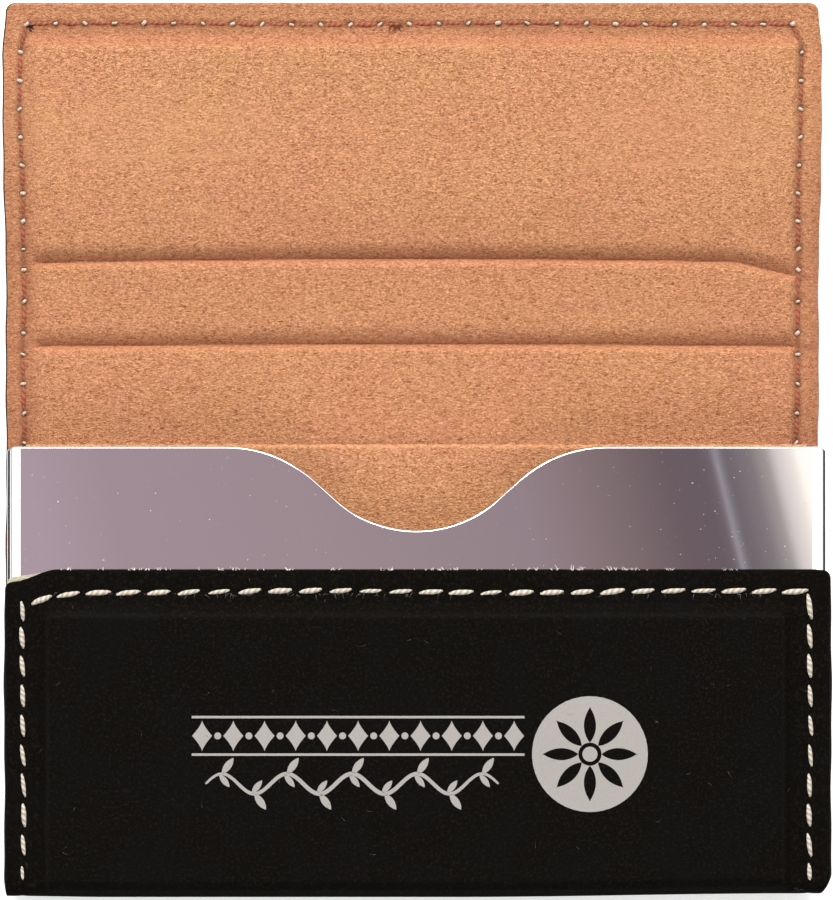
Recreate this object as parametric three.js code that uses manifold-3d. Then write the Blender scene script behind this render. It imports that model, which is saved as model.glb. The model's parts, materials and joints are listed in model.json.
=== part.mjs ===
// A business card case: a stitched leatherette wrap folded round a polished steel sleeve.
// Millimetres. The case lies on its back: +Z points up out of the pocket's front plate,
// +Y points from the bottom fold towards the flap, +X to the right.
// The origin is the centre of the back panel's outer face.

import * as THREE from "three";
import { mergeVertices } from "three/addons/utils/BufferGeometryUtils.js";
import Module from "manifold-3d";

const wasm = await Module();
wasm.setup();

// Overall sizes of the wrap.
const WIDTH = 95.2;
const BACK_LENGTH = 64;
const SPINE_LENGTH = 10.2;
const FLAP_LENGTH = 29.5;
const FRONT_LENGTH = 37.8;

// Layers, from the outside in.
const COVER = 0.7;
const BOARD = 1.0;
const LINING = 0.5;
const GLUE = 0.1;

// Steel sleeve.
const STEEL = 0.4;
const SLEEVE_WIDTH = 94.8;
const SLEEVE_BEND = 1.6;
const SLEEVE_TOP = 20;
const POCKET_DEPTH = 4.2;

// Thumb notch in the sleeve's front plate.
const NOTCH_HALF_WIDTH = 22;
const NOTCH_DEPTH = 9.7;
const NOTCH_SLOPE = THREE.MathUtils.degToRad(42);
const NOTCH_FOOT_RADIUS = 14;

// Folds, rims and corners.
const FOLD_RADIUS = 0.8;
const FRONT_BOARD_INSET = 5;
const BOARD_INSET = 3.8;
const FLAP_BOARD_INSET = 5.2;
const RAMP = 0.8;
const FLAP_CORNER = 1.4;
const FRONT_CORNER = 1;
const BOTTOM_CORNER = 1.2;
const CREASE_CLEARANCE = 0.1;

// Seam: the thread lies in a channel along the edge.
const SEAM_INSET = 2.2;
const CHANNEL_WIDTH = 0.9;
const THREAD_WIDTH = 0.6;
const NEEDLE_CHANNEL = 0.35;
const NEEDLE_THREAD = 0.25;
const BOBBIN_CHANNEL = 0.25;
const BOBBIN_THREAD = 0.15;
const THREAD_CLEARANCE = 0.05;

// Magnets in the flap, measured from the upper crease.
const MAGNET_RADIUS = 4;
const MAGNET_THICKNESS = 0.8;
const MAGNET_X = 30;
const MAGNET_FROM_CREASE = 16.5;

// The open flap's attitude: the turn at each crease away from flat.
const LOWER_CREASE_TURN = THREE.MathUtils.degToRad(4);
const UPPER_CREASE_TURN = THREE.MathUtils.degToRad(6);

// Heights above the cover's middle, where both creases turn.
const AXIS_HEIGHT = COVER / 2;
const COVER_TOP = COVER / 2;
const LINING_LOW = COVER_TOP + GLUE;
const RIM_TOP = LINING_LOW + LINING;
const BOARD_TOP = LINING_LOW + BOARD;
const RAISED_LOW = BOARD_TOP + GLUE;
const RAISED_TOP = RAISED_LOW + LINING;

// Levels of the body's layers above the resting face.
const SLEEVE_LOW = AXIS_HEIGHT + RAISED_TOP + GLUE;
const POCKET_LINING_LOW = SLEEVE_LOW + STEEL + GLUE;
const POCKET_LOW = POCKET_LINING_LOW + LINING;
const SLEEVE_HIGH = POCKET_LOW + POCKET_DEPTH + STEEL;
const FRONT_LINING_LOW = SLEEVE_HIGH + GLUE;
const FRONT_LINING_HIGH = FRONT_LINING_LOW + LINING;
const FRONT_RIM_HIGH = FRONT_LINING_HIGH + GLUE + COVER;

// Places along the body.
const CREASE_Y = BACK_LENGTH / 2;
const BOTTOM_Y = -BACK_LENGTH / 2;
const FRONT_EDGE_Y = BOTTOM_Y + FRONT_LENGTH;
const BOTTOM_BOARD_Y = BOTTOM_Y + COVER + GLUE;
const BOTTOM_LINING_Y = BOTTOM_BOARD_Y + BOARD + GLUE;
const SLEEVE_BOTTOM = BOTTOM_LINING_Y + LINING + 2 * GLUE;
const BOARD_FROM_CREASE = RAISED_TOP + CREASE_CLEARANCE + 0.3;
const SEAM_X = WIDTH / 2 - SEAM_INSET;

// Half the number of straight steps in an arc.
const ARC_STEPS = 3;

// ---- Materials ----

function leatherette() {
  return new THREE.MeshStandardMaterial({ color: 0x171512, roughness: 0.75, metalness: 0 });
}

function suede() {
  return new THREE.MeshStandardMaterial({ color: 0xd9996c, roughness: 0.95, metalness: 0 });
}

function greyboard() {
  return new THREE.MeshStandardMaterial({ color: 0x8f8778, roughness: 0.9, metalness: 0 });
}

function polishedSteel() {
  return new THREE.MeshStandardMaterial({ color: 0xc9c6cc, roughness: 0.08, metalness: 1 });
}

function nickelPlate() {
  return new THREE.MeshStandardMaterial({ color: 0xb5b3ae, roughness: 0.25, metalness: 1 });
}

function needleThread() {
  return new THREE.MeshStandardMaterial({ color: 0xded5c2, roughness: 0.8, metalness: 0 });
}

function bobbinThread() {
  return new THREE.MeshStandardMaterial({ color: 0x9a5f3f, roughness: 0.8, metalness: 0 });
}

// ---- Solids ----

// A closed geometry as a solid that can be joined and cut.
function solid(geometry) {
  geometry.deleteAttribute("normal");
  geometry.deleteAttribute("uv");
  const merged = mergeVertices(geometry, 1e-5);
  return new wasm.Manifold(
    new wasm.Mesh({
      numProp: 3,
      vertProperties: new Float32Array(merged.attributes.position.array),
      triVerts: new Uint32Array(merged.index.array),
    }),
  );
}

// A solid as a named mesh.
function piece(name, body, material) {
  const mesh = body.getMesh();
  const geometry = new THREE.BufferGeometry();
  geometry.setAttribute("position", new THREE.BufferAttribute(mesh.vertProperties, 3));
  geometry.setIndex(new THREE.BufferAttribute(mesh.triVerts, 1));
  geometry.computeVertexNormals();
  const result = new THREE.Mesh(geometry, material);
  result.name = name;
  return result;
}

// A rectangle in plan whose four corners may have different radii: lower left, lower right,
// upper right, upper left.
function plan([x0, x1], [y0, y1], [r0, r1, r2, r3] = [0, 0, 0, 0]) {
  const shape = new THREE.Shape();
  shape.moveTo(x0 + r0, y0);
  shape.lineTo(x1 - r1, y0);
  if (r1) shape.absarc(x1 - r1, y0 + r1, r1, -Math.PI / 2, 0, false);
  shape.lineTo(x1, y1 - r2);
  if (r2) shape.absarc(x1 - r2, y1 - r2, r2, 0, Math.PI / 2, false);
  shape.lineTo(x0 + r3, y1);
  if (r3) shape.absarc(x0 + r3, y1 - r3, r3, Math.PI / 2, Math.PI, false);
  shape.lineTo(x0, y0 + r0);
  if (r0) shape.absarc(x0 + r0, y0 + r0, r0, Math.PI, Math.PI * 1.5, false);
  return shape;
}

// A plan outline raised between two heights.
function prism(shape, [z0, z1]) {
  const geometry = new THREE.ExtrudeGeometry(shape, {
    depth: z1 - z0,
    bevelEnabled: false,
    curveSegments: ARC_STEPS,
  });
  geometry.translate(0, 0, z0);
  return solid(geometry);
}

function block(x, y, z) {
  return prism(plan(x, y), z);
}

// A side outline, drawn in Y and Z, carried from x0 to x1.
function carried(shape, [x0, x1]) {
  const geometry = new THREE.ExtrudeGeometry(shape, {
    depth: x1 - x0,
    bevelEnabled: false,
    curveSegments: ARC_STEPS,
  });
  const turn = new THREE.Matrix4().makeBasis(
    new THREE.Vector3(0, 1, 0),
    new THREE.Vector3(0, 0, 1),
    new THREE.Vector3(1, 0, 0),
  );
  geometry.applyMatrix4(turn);
  geometry.translate(x0, 0, 0);
  return solid(geometry);
}

// The corner points of a closed outline, each once.
function ring(shape) {
  const points = shape.getPoints(ARC_STEPS);
  return points.filter((p, i) => p.distanceTo(points[(i + 1) % points.length]) > 1e-6);
}

// A pad with sloping sides: a rounded rectangle at its foot, a smaller one at its top.
function pad(foot, top, radius = 1) {
  const corners = [radius, radius, radius, radius];
  const low = ring(plan(foot.x, foot.y, corners));
  const high = ring(plan(top.x, top.y, corners));
  const count = low.length;
  const points = [
    ...low.map((p) => [p.x, p.y, foot.z]),
    ...high.map((p) => [p.x, p.y, top.z]),
  ];
  const triangles = [];
  for (let i = 0; i < count; i += 1) {
    const next = (i + 1) % count;
    triangles.push(i, next, count + next, i, count + next, count + i);
  }
  for (let i = 1; i < count - 1; i += 1) {
    triangles.push(0, i + 1, i, count, count + i, count + i + 1);
  }
  const geometry = new THREE.BufferGeometry();
  geometry.setAttribute("position", new THREE.Float32BufferAttribute(points.flat(), 3));
  geometry.setIndex(triangles);
  return solid(geometry);
}

function joined(bodies) {
  return bodies.reduce((sum, body) => sum.add(body));
}

function cut(body, tools) {
  return tools.reduce((rest, tool) => rest.subtract(tool), body);
}

// The side outline of a strip that comes down the back, turns up the bottom wall and runs over
// the front. Its outer face is at backZ, wallY and frontZ, and it is `thick` thick inwards.
function foldedStrip({ backZ, wallY, frontZ, backEnd, frontEnd, thick, inner }) {
  const outer = inner + thick;
  const y = wallY + outer;
  const low = backZ + outer;
  const high = frontZ - outer;
  const shape = new THREE.Shape();
  shape.moveTo(backEnd, backZ);
  shape.lineTo(y, backZ);
  shape.absarc(y, low, outer, Math.PI * 1.5, Math.PI, true);
  shape.absarc(y, high, outer, Math.PI, Math.PI / 2, true);
  shape.lineTo(frontEnd, frontZ);
  shape.lineTo(frontEnd, frontZ - thick);
  shape.absarc(y, high, inner, Math.PI / 2, Math.PI, false);
  shape.absarc(y, low, inner, Math.PI, Math.PI * 1.5, false);
  shape.lineTo(backEnd, backZ + thick);
  shape.closePath();
  return shape;
}

// ---- Seams ----

const SEAM_SIDES = [-SEAM_X, SEAM_X];

// The stretch of X that a band of the given width takes round a seam line.
function bandX(x, width) {
  return [x - width / 2, x + width / 2];
}

// The seam along the body: both sides, round the bottom fold, and the row under the front
// panel's top edge. `strip` is the side outline, [z0, z1] the front row's heights.
function bodySeam(strip, width, [z0, z1]) {
  const rowY = FRONT_EDGE_Y - SEAM_INSET;
  const sides = SEAM_SIDES.map((x) => carried(foldedStrip(strip), bandX(x, width)));
  const reach = SEAM_X + width / 2;
  const row = block([-reach, reach], [rowY - width / 2, rowY + width / 2], [z0, z1]);
  return joined([...sides, row]);
}

// The outline of a seam strip on the outside of the body, `skin` below the outer face.
function outerStrip(skin, thick, backEnd, width) {
  return {
    backZ: skin,
    wallY: BOTTOM_Y + skin,
    frontZ: FRONT_RIM_HIGH - skin,
    backEnd,
    frontEnd: FRONT_EDGE_Y - SEAM_INSET + width / 2,
    thick,
    inner: FOLD_RADIUS + COVER - skin - thick,
  };
}

// The same on the lining's inner face, `skin` below that face.
function innerStrip(skin, thick, backEnd, width) {
  const depth = skin + thick;
  return {
    backZ: AXIS_HEIGHT + RIM_TOP - depth,
    wallY: BOTTOM_BOARD_Y + LINING - depth,
    frontZ: FRONT_LINING_LOW + depth,
    backEnd,
    frontEnd: FRONT_EDGE_Y - SEAM_INSET + width / 2,
    thick,
    inner: 0.2 + skin,
  };
}

// The seam of the flap: both sides and the row along the free edge, between heights z0 and z1.
function flapSeam(width, start, [z0, z1]) {
  const rowY = FLAP_LENGTH - SEAM_INSET;
  const reach = SEAM_X + width / 2;
  const sides = SEAM_SIDES.map((x) => block(bandX(x, width), [start, rowY], [z0, z1]));
  const row = block([-reach, reach], [rowY - width / 2, rowY + width / 2], [z0, z1]);
  return joined([...sides, row]);
}

// One side of the spine's seam.
function spineSeam(x, width, margin, [z0, z1]) {
  return block(bandX(x, width), [margin, SPINE_LENGTH - margin], [z0, z1]);
}

// Heights of the channels and threads on a flat panel, about the crease axis.
const NEEDLE_CHANNEL_Z = [-COVER_TOP - 1, -COVER_TOP + NEEDLE_CHANNEL];
const NEEDLE_THREAD_Z = [
  -COVER_TOP + THREAD_CLEARANCE,
  -COVER_TOP + THREAD_CLEARANCE + NEEDLE_THREAD,
];
const BOBBIN_CHANNEL_Z = [RIM_TOP - BOBBIN_CHANNEL, RIM_TOP + 0.05];
const BOBBIN_THREAD_Z = [RIM_TOP - THREAD_CLEARANCE - BOBBIN_THREAD, RIM_TOP - THREAD_CLEARANCE];
const NEEDLE_MARGIN = 0.8;
const BOBBIN_MARGIN = RIM_TOP + 0.5;

// ---- Flat panels: the spine strip and the flap ----
// Each is drawn flat, with its lower crease's axis along X through its own origin.

// A cover slab. Its crease end is a round nose on the axis; its far end is square.
function coverSlab(length, corner) {
  const side = new THREE.Shape();
  side.moveTo(0, -COVER_TOP);
  side.lineTo(length, -COVER_TOP);
  side.lineTo(length, COVER_TOP);
  side.lineTo(0, COVER_TOP);
  side.absarc(0, 0, COVER_TOP, Math.PI / 2, Math.PI * 1.5, false);
  const slab = carried(side, [-WIDTH / 2, WIDTH / 2]);
  const outline = plan([-WIDTH / 2, WIDTH / 2], [-1, length], [0, 0, corner, corner]);
  return slab.intersect(prism(outline, [-1, 1]));
}

// A lining sheet, raised over its board. A mitred end keeps clear of its neighbour when the
// crease closes to a right angle.
function liningSheet(length, corner, farMitre) {
  const near = (z) => z + CREASE_CLEARANCE;
  const far = (z) => (farMitre ? length - z - CREASE_CLEARANCE : length);
  const side = new THREE.Shape();
  side.moveTo(near(LINING_LOW), LINING_LOW);
  side.lineTo(far(LINING_LOW), LINING_LOW);
  side.lineTo(far(RIM_TOP), RIM_TOP);
  side.lineTo(near(RIM_TOP), RIM_TOP);
  side.closePath();
  const sheet = carried(side, [-WIDTH / 2, WIDTH / 2]);
  const outline = plan([-WIDTH / 2, WIDTH / 2], [0, length], [0, 0, corner, corner]);
  const trimmed = sheet.intersect(prism(outline, [0, RIM_TOP + 1]));
  const top = boardSpan(length, farMitre);
  const raised = pad(
    {
      x: [-boardHalfWidth() - 2 * RAMP, boardHalfWidth() + 2 * RAMP],
      y: [near(RIM_TOP - 0.1), farMitre ? far(RIM_TOP - 0.1) : top[1] + 2 * RAMP],
      z: RIM_TOP - 0.1,
    },
    {
      x: [-boardHalfWidth() - RAMP, boardHalfWidth() + RAMP],
      y: [near(RAISED_TOP), farMitre ? far(RAISED_TOP) : top[1] + RAMP],
      z: RAISED_TOP,
    },
  );
  return trimmed.add(raised);
}

function boardHalfWidth() {
  return WIDTH / 2 - BOARD_INSET;
}

// Where a panel's board starts and ends along its length.
function boardSpan(length, farMitre) {
  return [BOARD_FROM_CREASE, length - (farMitre ? BOARD_FROM_CREASE : FLAP_BOARD_INSET)];
}

// The board, or with a gap round it the hollow that holds it.
function boardBlock([y0, y1], [z0, z1], gap = 0) {
  const x = boardHalfWidth() + gap;
  return block([-x, x], [y0 - gap, y1 + gap], [z0 - gap, z1 + gap]);
}

// ---- Spine strip ----

function outerCoverSpine() {
  const slab = coverSlab(SPINE_LENGTH - COVER_TOP - CREASE_CLEARANCE, 0);
  const channels = SEAM_SIDES.map((x) => spineSeam(x, CHANNEL_WIDTH, -1, NEEDLE_CHANNEL_Z));
  return piece("outer_cover_spine", cut(slab, channels), leatherette());
}

function spineBoard() {
  const body = boardBlock(boardSpan(SPINE_LENGTH, true), [LINING_LOW, BOARD_TOP]);
  return piece("spine_board", body, greyboard());
}

function liningSpine() {
  const sheet = liningSheet(SPINE_LENGTH, 0, true);
  const hollow = boardBlock(boardSpan(SPINE_LENGTH, true), [LINING_LOW, BOARD_TOP], GLUE);
  const channels = SEAM_SIDES.map((x) => spineSeam(x, CHANNEL_WIDTH, -1, BOBBIN_CHANNEL_Z));
  return piece("lining_spine", cut(sheet, [hollow, ...channels]), suede());
}

function spineThreads() {
  return SEAM_SIDES.flatMap((x) => {
    const side = x < 0 ? "left" : "right";
    const needle = spineSeam(x, THREAD_WIDTH, NEEDLE_MARGIN, NEEDLE_THREAD_Z);
    const bobbin = spineSeam(x, THREAD_WIDTH, BOBBIN_MARGIN, BOBBIN_THREAD_Z);
    return [
      piece("spine_needle_thread_" + side, needle, needleThread()),
      piece("spine_bobbin_thread_" + side, bobbin, bobbinThread()),
    ];
  });
}

// ---- Flap ----

function outerCoverFlap() {
  const slab = coverSlab(FLAP_LENGTH, FLAP_CORNER);
  const channel = flapSeam(CHANNEL_WIDTH, -1, NEEDLE_CHANNEL_Z);
  return piece("outer_cover_flap", slab.subtract(channel), leatherette());
}

// A disc in the flap board's plane.
function magnetDisc(x, radius, [z0, z1]) {
  const disc = new THREE.Shape();
  disc.absarc(x, MAGNET_FROM_CREASE, radius, 0, Math.PI * 2, false);
  return prism(disc, [z0, z1]);
}

function flapBoard() {
  const board = boardBlock(boardSpan(FLAP_LENGTH, false), [LINING_LOW, BOARD_TOP]);
  const holes = [-MAGNET_X, MAGNET_X].map((x) =>
    magnetDisc(x, MAGNET_RADIUS + GLUE, [LINING_LOW - 1, BOARD_TOP + 1]),
  );
  return piece("flap_board", cut(board, holes), greyboard());
}

function liningFlap() {
  const sheet = liningSheet(FLAP_LENGTH, FLAP_CORNER, false);
  const hollow = boardBlock(boardSpan(FLAP_LENGTH, false), [LINING_LOW, BOARD_TOP], GLUE);
  const channel = flapSeam(CHANNEL_WIDTH, -1, BOBBIN_CHANNEL_Z);
  return piece("lining_flap", cut(sheet, [hollow, channel]), suede());
}

function flapMagnets() {
  return [-MAGNET_X, MAGNET_X].map((x) => {
    const side = x < 0 ? "left" : "right";
    const low = (LINING_LOW + BOARD_TOP - MAGNET_THICKNESS) / 2;
    const disc = magnetDisc(x, MAGNET_RADIUS, [low, low + MAGNET_THICKNESS]);
    return piece("flap_magnet_" + side, disc, nickelPlate());
  });
}

function flapThreads() {
  const needle = flapSeam(THREAD_WIDTH, NEEDLE_MARGIN, NEEDLE_THREAD_Z);
  const bobbin = flapSeam(THREAD_WIDTH, BOBBIN_MARGIN, BOBBIN_THREAD_Z);
  return [
    piece("flap_needle_thread", needle, needleThread()),
    piece("flap_bobbin_thread", bobbin, bobbinThread()),
  ];
}

// ---- Body: front panel, bottom wall and back panel ----

// The plan outline of the body's wrap, which trims its free corners.
function bodyOutline(front) {
  const corners = [BOTTOM_CORNER, BOTTOM_CORNER, front ? FRONT_CORNER : 0, front ? FRONT_CORNER : 0];
  return plan([-WIDTH / 2, WIDTH / 2], [BOTTOM_Y, front ? FRONT_EDGE_Y : CREASE_Y], corners);
}

// Trims a folded sheet to the corners of the back panel and the front panel.
function trimCorners(sheet) {
  const middle = (FRONT_RIM_HIGH + AXIS_HEIGHT) / 2;
  const lower = sheet.intersect(prism(bodyOutline(false), [-1, middle]));
  const upper = sheet.intersect(prism(bodyOutline(true), [middle, FRONT_RIM_HIGH + 5]));
  return lower.add(upper);
}

const FRONT_BOARD = {
  x: WIDTH / 2 - FRONT_BOARD_INSET - RAMP,
  y: [BOTTOM_Y + COVER + BOARD + 0.5, FRONT_EDGE_Y - FRONT_BOARD_INSET - RAMP],
  z: [FRONT_LINING_HIGH + GLUE, FRONT_LINING_HIGH + GLUE + BOARD],
};

function frontBoardBlock(gap) {
  const { x, y, z } = FRONT_BOARD;
  return block([-x - gap, x + gap], [y[0] - gap, y[1] + gap], [z[0] - gap, z[1] + gap]);
}

// The leatherette, pressed up over the front board.
function outerCoverBody() {
  const strip = foldedStrip({
    backZ: 0,
    wallY: BOTTOM_Y,
    frontZ: FRONT_RIM_HIGH,
    backEnd: CREASE_Y - COVER_TOP - CREASE_CLEARANCE,
    frontEnd: FRONT_EDGE_Y,
    thick: COVER,
    inner: FOLD_RADIUS,
  });
  const sheet = trimCorners(carried(strip, [-WIDTH / 2, WIDTH / 2]));
  const top = FRONT_BOARD.z[1] + GLUE + COVER;
  const { x, y } = FRONT_BOARD;
  const raised = pad(
    {
      x: [-x - 2 * RAMP, x + 2 * RAMP],
      y: [BOTTOM_Y + 1, y[1] + 2 * RAMP],
      z: FRONT_RIM_HIGH - 0.1,
    },
    { x: [-x - RAMP, x + RAMP], y: [y[0] - 0.2, y[1] + RAMP], z: top },
  );
  const channel = bodySeam(
    outerStrip(-1, 1 + NEEDLE_CHANNEL, CREASE_Y + 1, CHANNEL_WIDTH),
    CHANNEL_WIDTH,
    [FRONT_RIM_HIGH - NEEDLE_CHANNEL, FRONT_RIM_HIGH + 1],
  );
  const body = cut(sheet.add(raised), [frontBoardBlock(GLUE), channel]);
  return piece("outer_cover_body", body, leatherette());
}

function frontBoard() {
  return piece("front_board", frontBoardBlock(0), greyboard());
}

const BACK_BOARD_Y = [BOTTOM_LINING_Y, CREASE_Y - BOARD_FROM_CREASE];
const BACK_BOARD_Z = [AXIS_HEIGHT + LINING_LOW, AXIS_HEIGHT + BOARD_TOP];

function backBoard() {
  return piece("back_board", boardBlock(BACK_BOARD_Y, BACK_BOARD_Z), greyboard());
}

const BOTTOM_BOARD_Z = [AXIS_HEIGHT + RAISED_LOW, FRONT_LINING_LOW - 0.2];

// The stiffener of the bottom wall, upright between the cover and the lining.
function bottomBoardBlock(gap) {
  const x = boardHalfWidth() + gap;
  return block(
    [-x, x],
    [BOTTOM_BOARD_Y - gap, BOTTOM_BOARD_Y + BOARD + gap],
    [BOTTOM_BOARD_Z[0] - gap, BOTTOM_BOARD_Z[1] + gap],
  );
}

function bottomBoard() {
  return piece("bottom_board", bottomBoardBlock(0), greyboard());
}

// The suede under the whole wrap: flat on the sleeve's front plate, raised over the bottom
// board and the back board, pinched to the cover along the seams.
function liningBody() {
  const strip = foldedStrip({
    backZ: AXIS_HEIGHT + LINING_LOW,
    wallY: BOTTOM_BOARD_Y,
    frontZ: FRONT_LINING_HIGH,
    backEnd: CREASE_Y - LINING_LOW - CREASE_CLEARANCE,
    frontEnd: FRONT_EDGE_Y,
    thick: LINING,
    inner: 0.2,
  });
  const sheet = trimCorners(carried(strip, [-WIDTH / 2, WIDTH / 2]));
  const creaseMitre = new THREE.Shape();
  const end = CREASE_Y - CREASE_CLEARANCE;
  creaseMitre.moveTo(end - LINING_LOW + 0.5, AXIS_HEIGHT + LINING_LOW - 0.5);
  creaseMitre.lineTo(end - RAISED_TOP - 1, AXIS_HEIGHT + RAISED_TOP + 1);
  creaseMitre.lineTo(end + 1, AXIS_HEIGHT + RAISED_TOP + 1);
  creaseMitre.closePath();
  const mitre = carried(creaseMitre, [-WIDTH, WIDTH]);
  const foot = boardHalfWidth() + 2 * RAMP;
  const top = boardHalfWidth() + RAMP;
  const backPad = pad(
    {
      x: [-foot, foot],
      y: [BOTTOM_BOARD_Y + 0.2, end - RIM_TOP + 0.1],
      z: AXIS_HEIGHT + RIM_TOP - 0.1,
    },
    { x: [-top, top], y: [BOTTOM_BOARD_Y + RAMP, end - RAISED_TOP], z: AXIS_HEIGHT + RAISED_TOP },
  );
  const wallZ = [AXIS_HEIGHT + RIM_TOP, FRONT_LINING_LOW + 0.3];
  const wallPad = block([-top, top], [BOTTOM_BOARD_Y + 0.2, BOTTOM_LINING_Y + LINING], wallZ);
  const channel = bodySeam(
    innerStrip(-0.05, BOBBIN_CHANNEL + 0.05, CREASE_Y + 1, CHANNEL_WIDTH),
    CHANNEL_WIDTH,
    [FRONT_LINING_LOW - 0.05, FRONT_LINING_LOW + BOBBIN_CHANNEL],
  );
  const tools = [
    mitre,
    boardBlock(BACK_BOARD_Y, BACK_BOARD_Z, GLUE),
    bottomBoardBlock(GLUE),
    channel,
  ];
  return piece("lining_body", cut(joined([sheet, backPad, wallPad]), tools), suede());
}

function bodyThreads() {
  const needle = bodySeam(
    outerStrip(THREAD_CLEARANCE, NEEDLE_THREAD, CREASE_Y - NEEDLE_MARGIN, THREAD_WIDTH),
    THREAD_WIDTH,
    [FRONT_RIM_HIGH - THREAD_CLEARANCE - NEEDLE_THREAD, FRONT_RIM_HIGH - THREAD_CLEARANCE],
  );
  const bobbin = bodySeam(
    innerStrip(THREAD_CLEARANCE, BOBBIN_THREAD, CREASE_Y - BOBBIN_MARGIN, THREAD_WIDTH),
    THREAD_WIDTH,
    [FRONT_LINING_LOW + THREAD_CLEARANCE, FRONT_LINING_LOW + THREAD_CLEARANCE + BOBBIN_THREAD],
  );
  return [
    piece("body_needle_thread", needle, needleThread()),
    piece("body_bobbin_thread", bobbin, bobbinThread()),
  ];
}

// ---- Steel sleeve ----

// The thumb notch in plan: a straight edge turns into a slope by an arc, and a wider arc rounds
// the bottom. The upper arcs' radius follows from the notch's width, depth and slope.
function notchOutline() {
  const sin = Math.sin(NOTCH_SLOPE);
  const cos = Math.cos(NOTCH_SLOPE);
  const foot = NOTCH_FOOT_RADIUS;
  // Half width = (shoulder + foot) * sin + run * cos; depth = (shoulder + foot) * (1 - cos) + run * sin.
  const radii = (NOTCH_HALF_WIDTH * sin - NOTCH_DEPTH * cos) / (1 - cos);
  const shoulder = radii - foot;
  const top = SLEEVE_TOP;
  const shape = new THREE.Shape();
  shape.moveTo(-NOTCH_HALF_WIDTH, top + 5);
  shape.lineTo(-NOTCH_HALF_WIDTH, top);
  shape.absarc(-NOTCH_HALF_WIDTH, top - shoulder, shoulder, Math.PI / 2, Math.PI / 2 - NOTCH_SLOPE, true);
  shape.absarc(0, top - NOTCH_DEPTH + foot, foot, Math.PI * 1.5 - NOTCH_SLOPE, Math.PI * 1.5 + NOTCH_SLOPE, false);
  shape.absarc(NOTCH_HALF_WIDTH, top - shoulder, shoulder, Math.PI / 2 + NOTCH_SLOPE, Math.PI / 2, true);
  shape.lineTo(NOTCH_HALF_WIDTH, top + 5);
  shape.closePath();
  return shape;
}

// A rounded rectangle in X and Z, carried along the sleeve's length.
function sleeveTube(inset) {
  const half = SLEEVE_WIDTH / 2 - inset;
  const bend = SLEEVE_BEND - inset;
  const outline = plan([-half, half], [SLEEVE_LOW + inset, SLEEVE_HIGH - inset], [bend, bend, bend, bend]);
  const length = SLEEVE_TOP - SLEEVE_BOTTOM + 2 * inset;
  const geometry = new THREE.ExtrudeGeometry(outline, {
    depth: length,
    bevelEnabled: false,
    curveSegments: ARC_STEPS,
  });
  geometry.rotateX(Math.PI / 2);
  geometry.translate(0, SLEEVE_TOP + inset, 0);
  return solid(geometry);
}

function cardSleeve() {
  const notch = prism(notchOutline(), [SLEEVE_HIGH - 2, SLEEVE_HIGH + 2]);
  const body = cut(sleeveTube(0), [sleeveTube(STEEL), notch]);
  return piece("card_sleeve", body, polishedSteel());
}

function pocketLining() {
  const x = SLEEVE_WIDTH / 2 - SLEEVE_BEND - 0.2;
  const body = block([-x, x], [SLEEVE_BOTTOM, SLEEVE_TOP - 0.5], [POCKET_LINING_LOW, POCKET_LOW]);
  return piece("pocket_lining", body, suede());
}

// ---- Assembly ----

const flap = new THREE.Group();
flap.add(outerCoverFlap(), flapBoard(), liningFlap(), ...flapMagnets(), ...flapThreads());
flap.position.set(0, SPINE_LENGTH, 0);
flap.rotation.x = UPPER_CREASE_TURN;

const spine = new THREE.Group();
spine.add(outerCoverSpine(), spineBoard(), liningSpine(), ...spineThreads(), flap);
spine.position.set(0, CREASE_Y, AXIS_HEIGHT);
spine.rotation.x = LOWER_CREASE_TURN;

const group = new THREE.Group();
group.add(
  outerCoverBody(),
  frontBoard(),
  bottomBoard(),
  backBoard(),
  liningBody(),
  cardSleeve(),
  pocketLining(),
  ...bodyThreads(),
  spine,
);

export default group;
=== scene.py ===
"""A business card case: a stitched leatherette wrap with a suede lining, folded round a polished
steel sleeve, lying open on its back on a white table.

Lengths in the making functions are millimetres, and every finished mesh is in metres in the CAD
frame: +X right, +Y from the bottom fold to the flap, +Z up out of the case.
"""

import json
import math

import bpy
import numpy as np
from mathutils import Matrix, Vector


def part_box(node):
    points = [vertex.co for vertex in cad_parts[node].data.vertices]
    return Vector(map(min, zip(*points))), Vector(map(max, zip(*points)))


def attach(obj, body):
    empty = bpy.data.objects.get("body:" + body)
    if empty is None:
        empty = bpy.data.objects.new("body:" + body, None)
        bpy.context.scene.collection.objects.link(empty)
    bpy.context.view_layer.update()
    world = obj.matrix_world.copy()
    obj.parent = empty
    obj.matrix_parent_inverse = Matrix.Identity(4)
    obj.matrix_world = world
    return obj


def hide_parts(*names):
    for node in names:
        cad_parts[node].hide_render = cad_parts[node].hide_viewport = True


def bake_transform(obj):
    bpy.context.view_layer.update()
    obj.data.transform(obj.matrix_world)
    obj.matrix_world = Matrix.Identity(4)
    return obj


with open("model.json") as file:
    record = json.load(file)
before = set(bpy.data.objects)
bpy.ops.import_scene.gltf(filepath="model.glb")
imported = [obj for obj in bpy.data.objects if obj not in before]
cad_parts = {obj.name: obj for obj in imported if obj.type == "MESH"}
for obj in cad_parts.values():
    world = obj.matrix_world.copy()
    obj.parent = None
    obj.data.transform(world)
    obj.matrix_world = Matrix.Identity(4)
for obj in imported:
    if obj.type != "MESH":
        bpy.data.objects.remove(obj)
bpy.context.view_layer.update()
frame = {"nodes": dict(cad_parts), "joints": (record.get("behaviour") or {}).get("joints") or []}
MM = 0.001


# ---- Places and sizes from the CAD frame, in millimetres ----


def box_mm(node):
    """The low and high corners of a CAD node's box, in millimetres."""
    low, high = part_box(node)
    return np.array(low) / MM, np.array(high) / MM


def joint_named(name):
    """A joint of the frame, by its name."""
    return next(joint for joint in frame["joints"] if joint["name"] == name)


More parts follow.
